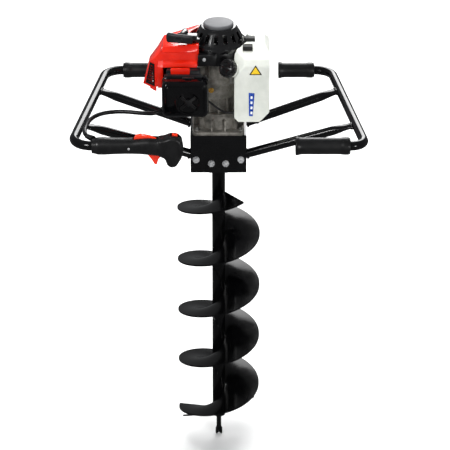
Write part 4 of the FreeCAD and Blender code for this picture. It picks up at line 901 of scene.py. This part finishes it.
# Place along the grip, half height, half depth, and how far the middle is pushed out.
GRIP_ROWS = ((-31.5, 6, 3.5, 0), (-30.5, 9.6, 5.2, 0), (-27, 11.8, 6, 0), (-16, 11.4, 6, 0.4),
             (-8, 10.6, 6, 0.6), (0, 10.4, 6, 0.6), (10, 10.2, 6, 0.4), (20, 10.4, 6, 0), (27, 10.3, 5.8, 0),
             (30.5, 8.6, 5, 0), (31.5, 6, 3.5, 0))
pull = bmesh.new()
rows = []
for t, tall, deep, push in GRIP_ROWS:
    row = []
    for k in range(GRIP_POINTS):
        a = math.tau * k / GRIP_POINTS
        c, s = math.cos(a), math.sin(a)
        row.append(GRIP + SIDE * t + OUT * (push + deep * math.copysign(abs(c) ** GRIP_SQUARENESS, c))
                   + Z * (tall * math.copysign(abs(s) ** GRIP_SQUARENESS, s)))
    rows.append(row)
loft(pull, rows)
lathe(pull, rounded([(0.01, 3), (9, 3), (9, 7.6), (7.6, 9), (6.4, 9), (5.8, 8.2), (0.01, 8.0)], 0.7, 3),
      GRIP, OUT, 40)
lathe(pull, rounded([(2.4, -12), (5, -12), (5.8, -4), (2.4, -4)], 0.7, 3), GRIP, OUT, 32)
piece(mesh_object("pull_handle", pull, handle_black, MOULDED_CORNER), "starter_grip", "starter_handle_black",
      "starter_handle")

# Three strands laid round each other; the run stretches between the two points given to the blend.
ROPE_RADIUS, STRAND_HEIGHT, LAY = 2.0, 0.2, 0.5
ROPE_RINGS, ROPE_POINTS = 24, 24
eye = GRIP - OUT * 26
tail = GRIP - OUT * 8
rings = []
for k in range(ROPE_RINGS + 1):
    centre = eye + (tail - eye) * (k / ROPE_RINGS)
    rings.append([centre + (SIDE * math.cos(a) + Z * math.sin(a))
                  * (ROPE_RADIUS + STRAND_HEIGHT * math.cos(3 * a + k * LAY))
                  for a in [math.tau * j / ROPE_POINTS for j in range(ROPE_POINTS)]])
rope_run = mesh_object("rope_run", loft(bmesh.new(), rings), rope, 60)
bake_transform(rope_run)


# ---- small fittings -----------------------------------------------------------------------------
tongue_outline = rounded([(-112, 1047), (-66, 1047), (-67, 1031), (-111, 1031)], 4, 4)
tongue = prism(bmesh.new(), [Vector((p.x, -95, p.y)) for p in tongue_outline], (0, 5, 0))
piece(bevelled(mesh_object("cover_tongue", tongue, cover_red), 1.0, 3), "root", "cover_red")


def socket_screw():
    """A cap screw with a round socket on a raised boss, standing on Z = 0."""
    shape = bmesh.new()
    boss = rounded([(0.01, -16), (6.4, -16), (5.8, 0), (3.4, 0.0), (0.01, 0.0)], 0.6, 2)
    lathe(shape, boss, (0, 0, 0), Z, 28)
    lathe(shape, rounded([(0.01, 0), (4.2, 0), (4.2, 4), (2.5, 4), (2.2, 1.6), (0.01, 1.6)], 0.3, 2),
          (0, 0, 0.1), Z, 28)
    return mesh_object("socket_screw", shape, cast_light)


CAP_SCREW = socket_screw()
# Height, first angle and radius of each ring of four; the upper ones are clear of the piston.
SCREW_RINGS = ((1001, -45, 43.5), (873.5, 46, 73))
case_screws = []
for height, first, radius in SCREW_RINGS:
    at = Matrix.Translation(Vector((0, 0, height)) * MM) @ Matrix.Rotation(math.radians(first), 4, "Z")
    case_screws.append(repeated("screws", RING, CAP_SCREW, cast_light, at, Count=4, Radius=radius * MM))
piece(joined("case_screws", case_screws), "root", "cast_grey")

BRASS_AT = (-17, -44, 972)
brass_ring = bmesh.new()
lathe(brass_ring, rounded([(2.6, 0), (6.2, 0), (6.2, 3), (2.6, 3)], 0.6, 2), BRASS_AT, -Y, 32)
lathe(brass_ring, rounded([(0.01, 0.5), (2.4, 0.5), (2.4, 5), (0.01, 5)], 0.6, 2), BRASS_AT, -Y, 24)
piece(mesh_object("brass_fitting", brass_ring, brass), "root", "carburettor_zinc")

# The bead that welds the flighting to its tube: it starts and ends where the flighting does.
PITCH, FLIGHT_FROM, FLIGHT_TO, FLIGHT_BASE = 141, -191, 1387, 151     # degrees; base is Z at angle 0
SEAM_RADIUS, SEAM_LUMP, SEAM_STEP = 16.4, 2.2, 3.2
flight_lump = lump("weld_item", SEAM_LUMP, bit_coat)
flight_turns = (FLIGHT_TO - FLIGHT_FROM) / 360
seam_base = Vector((0, 0, FLIGHT_BASE + PITCH * FLIGHT_FROM / 360 + SEAM_LUMP))
helix = Matrix.Translation(seam_base * MM) @ Matrix.Rotation(math.radians(FLIGHT_FROM), 4, "Z")
seam = repeated("flight_weld", BEAD, flight_lump, bit_coat, helix, Turns=flight_turns,
                Radius=SEAM_RADIUS * MM, Rise=PITCH * flight_turns * MM, Spacing=SEAM_STEP * MM, Seed=5)
piece(seam, "bit", "bit_black")

removed(frame_lump, BOLT, SCREW, SMALL_SCREW, CAP_SCREW, rib, flight_lump)
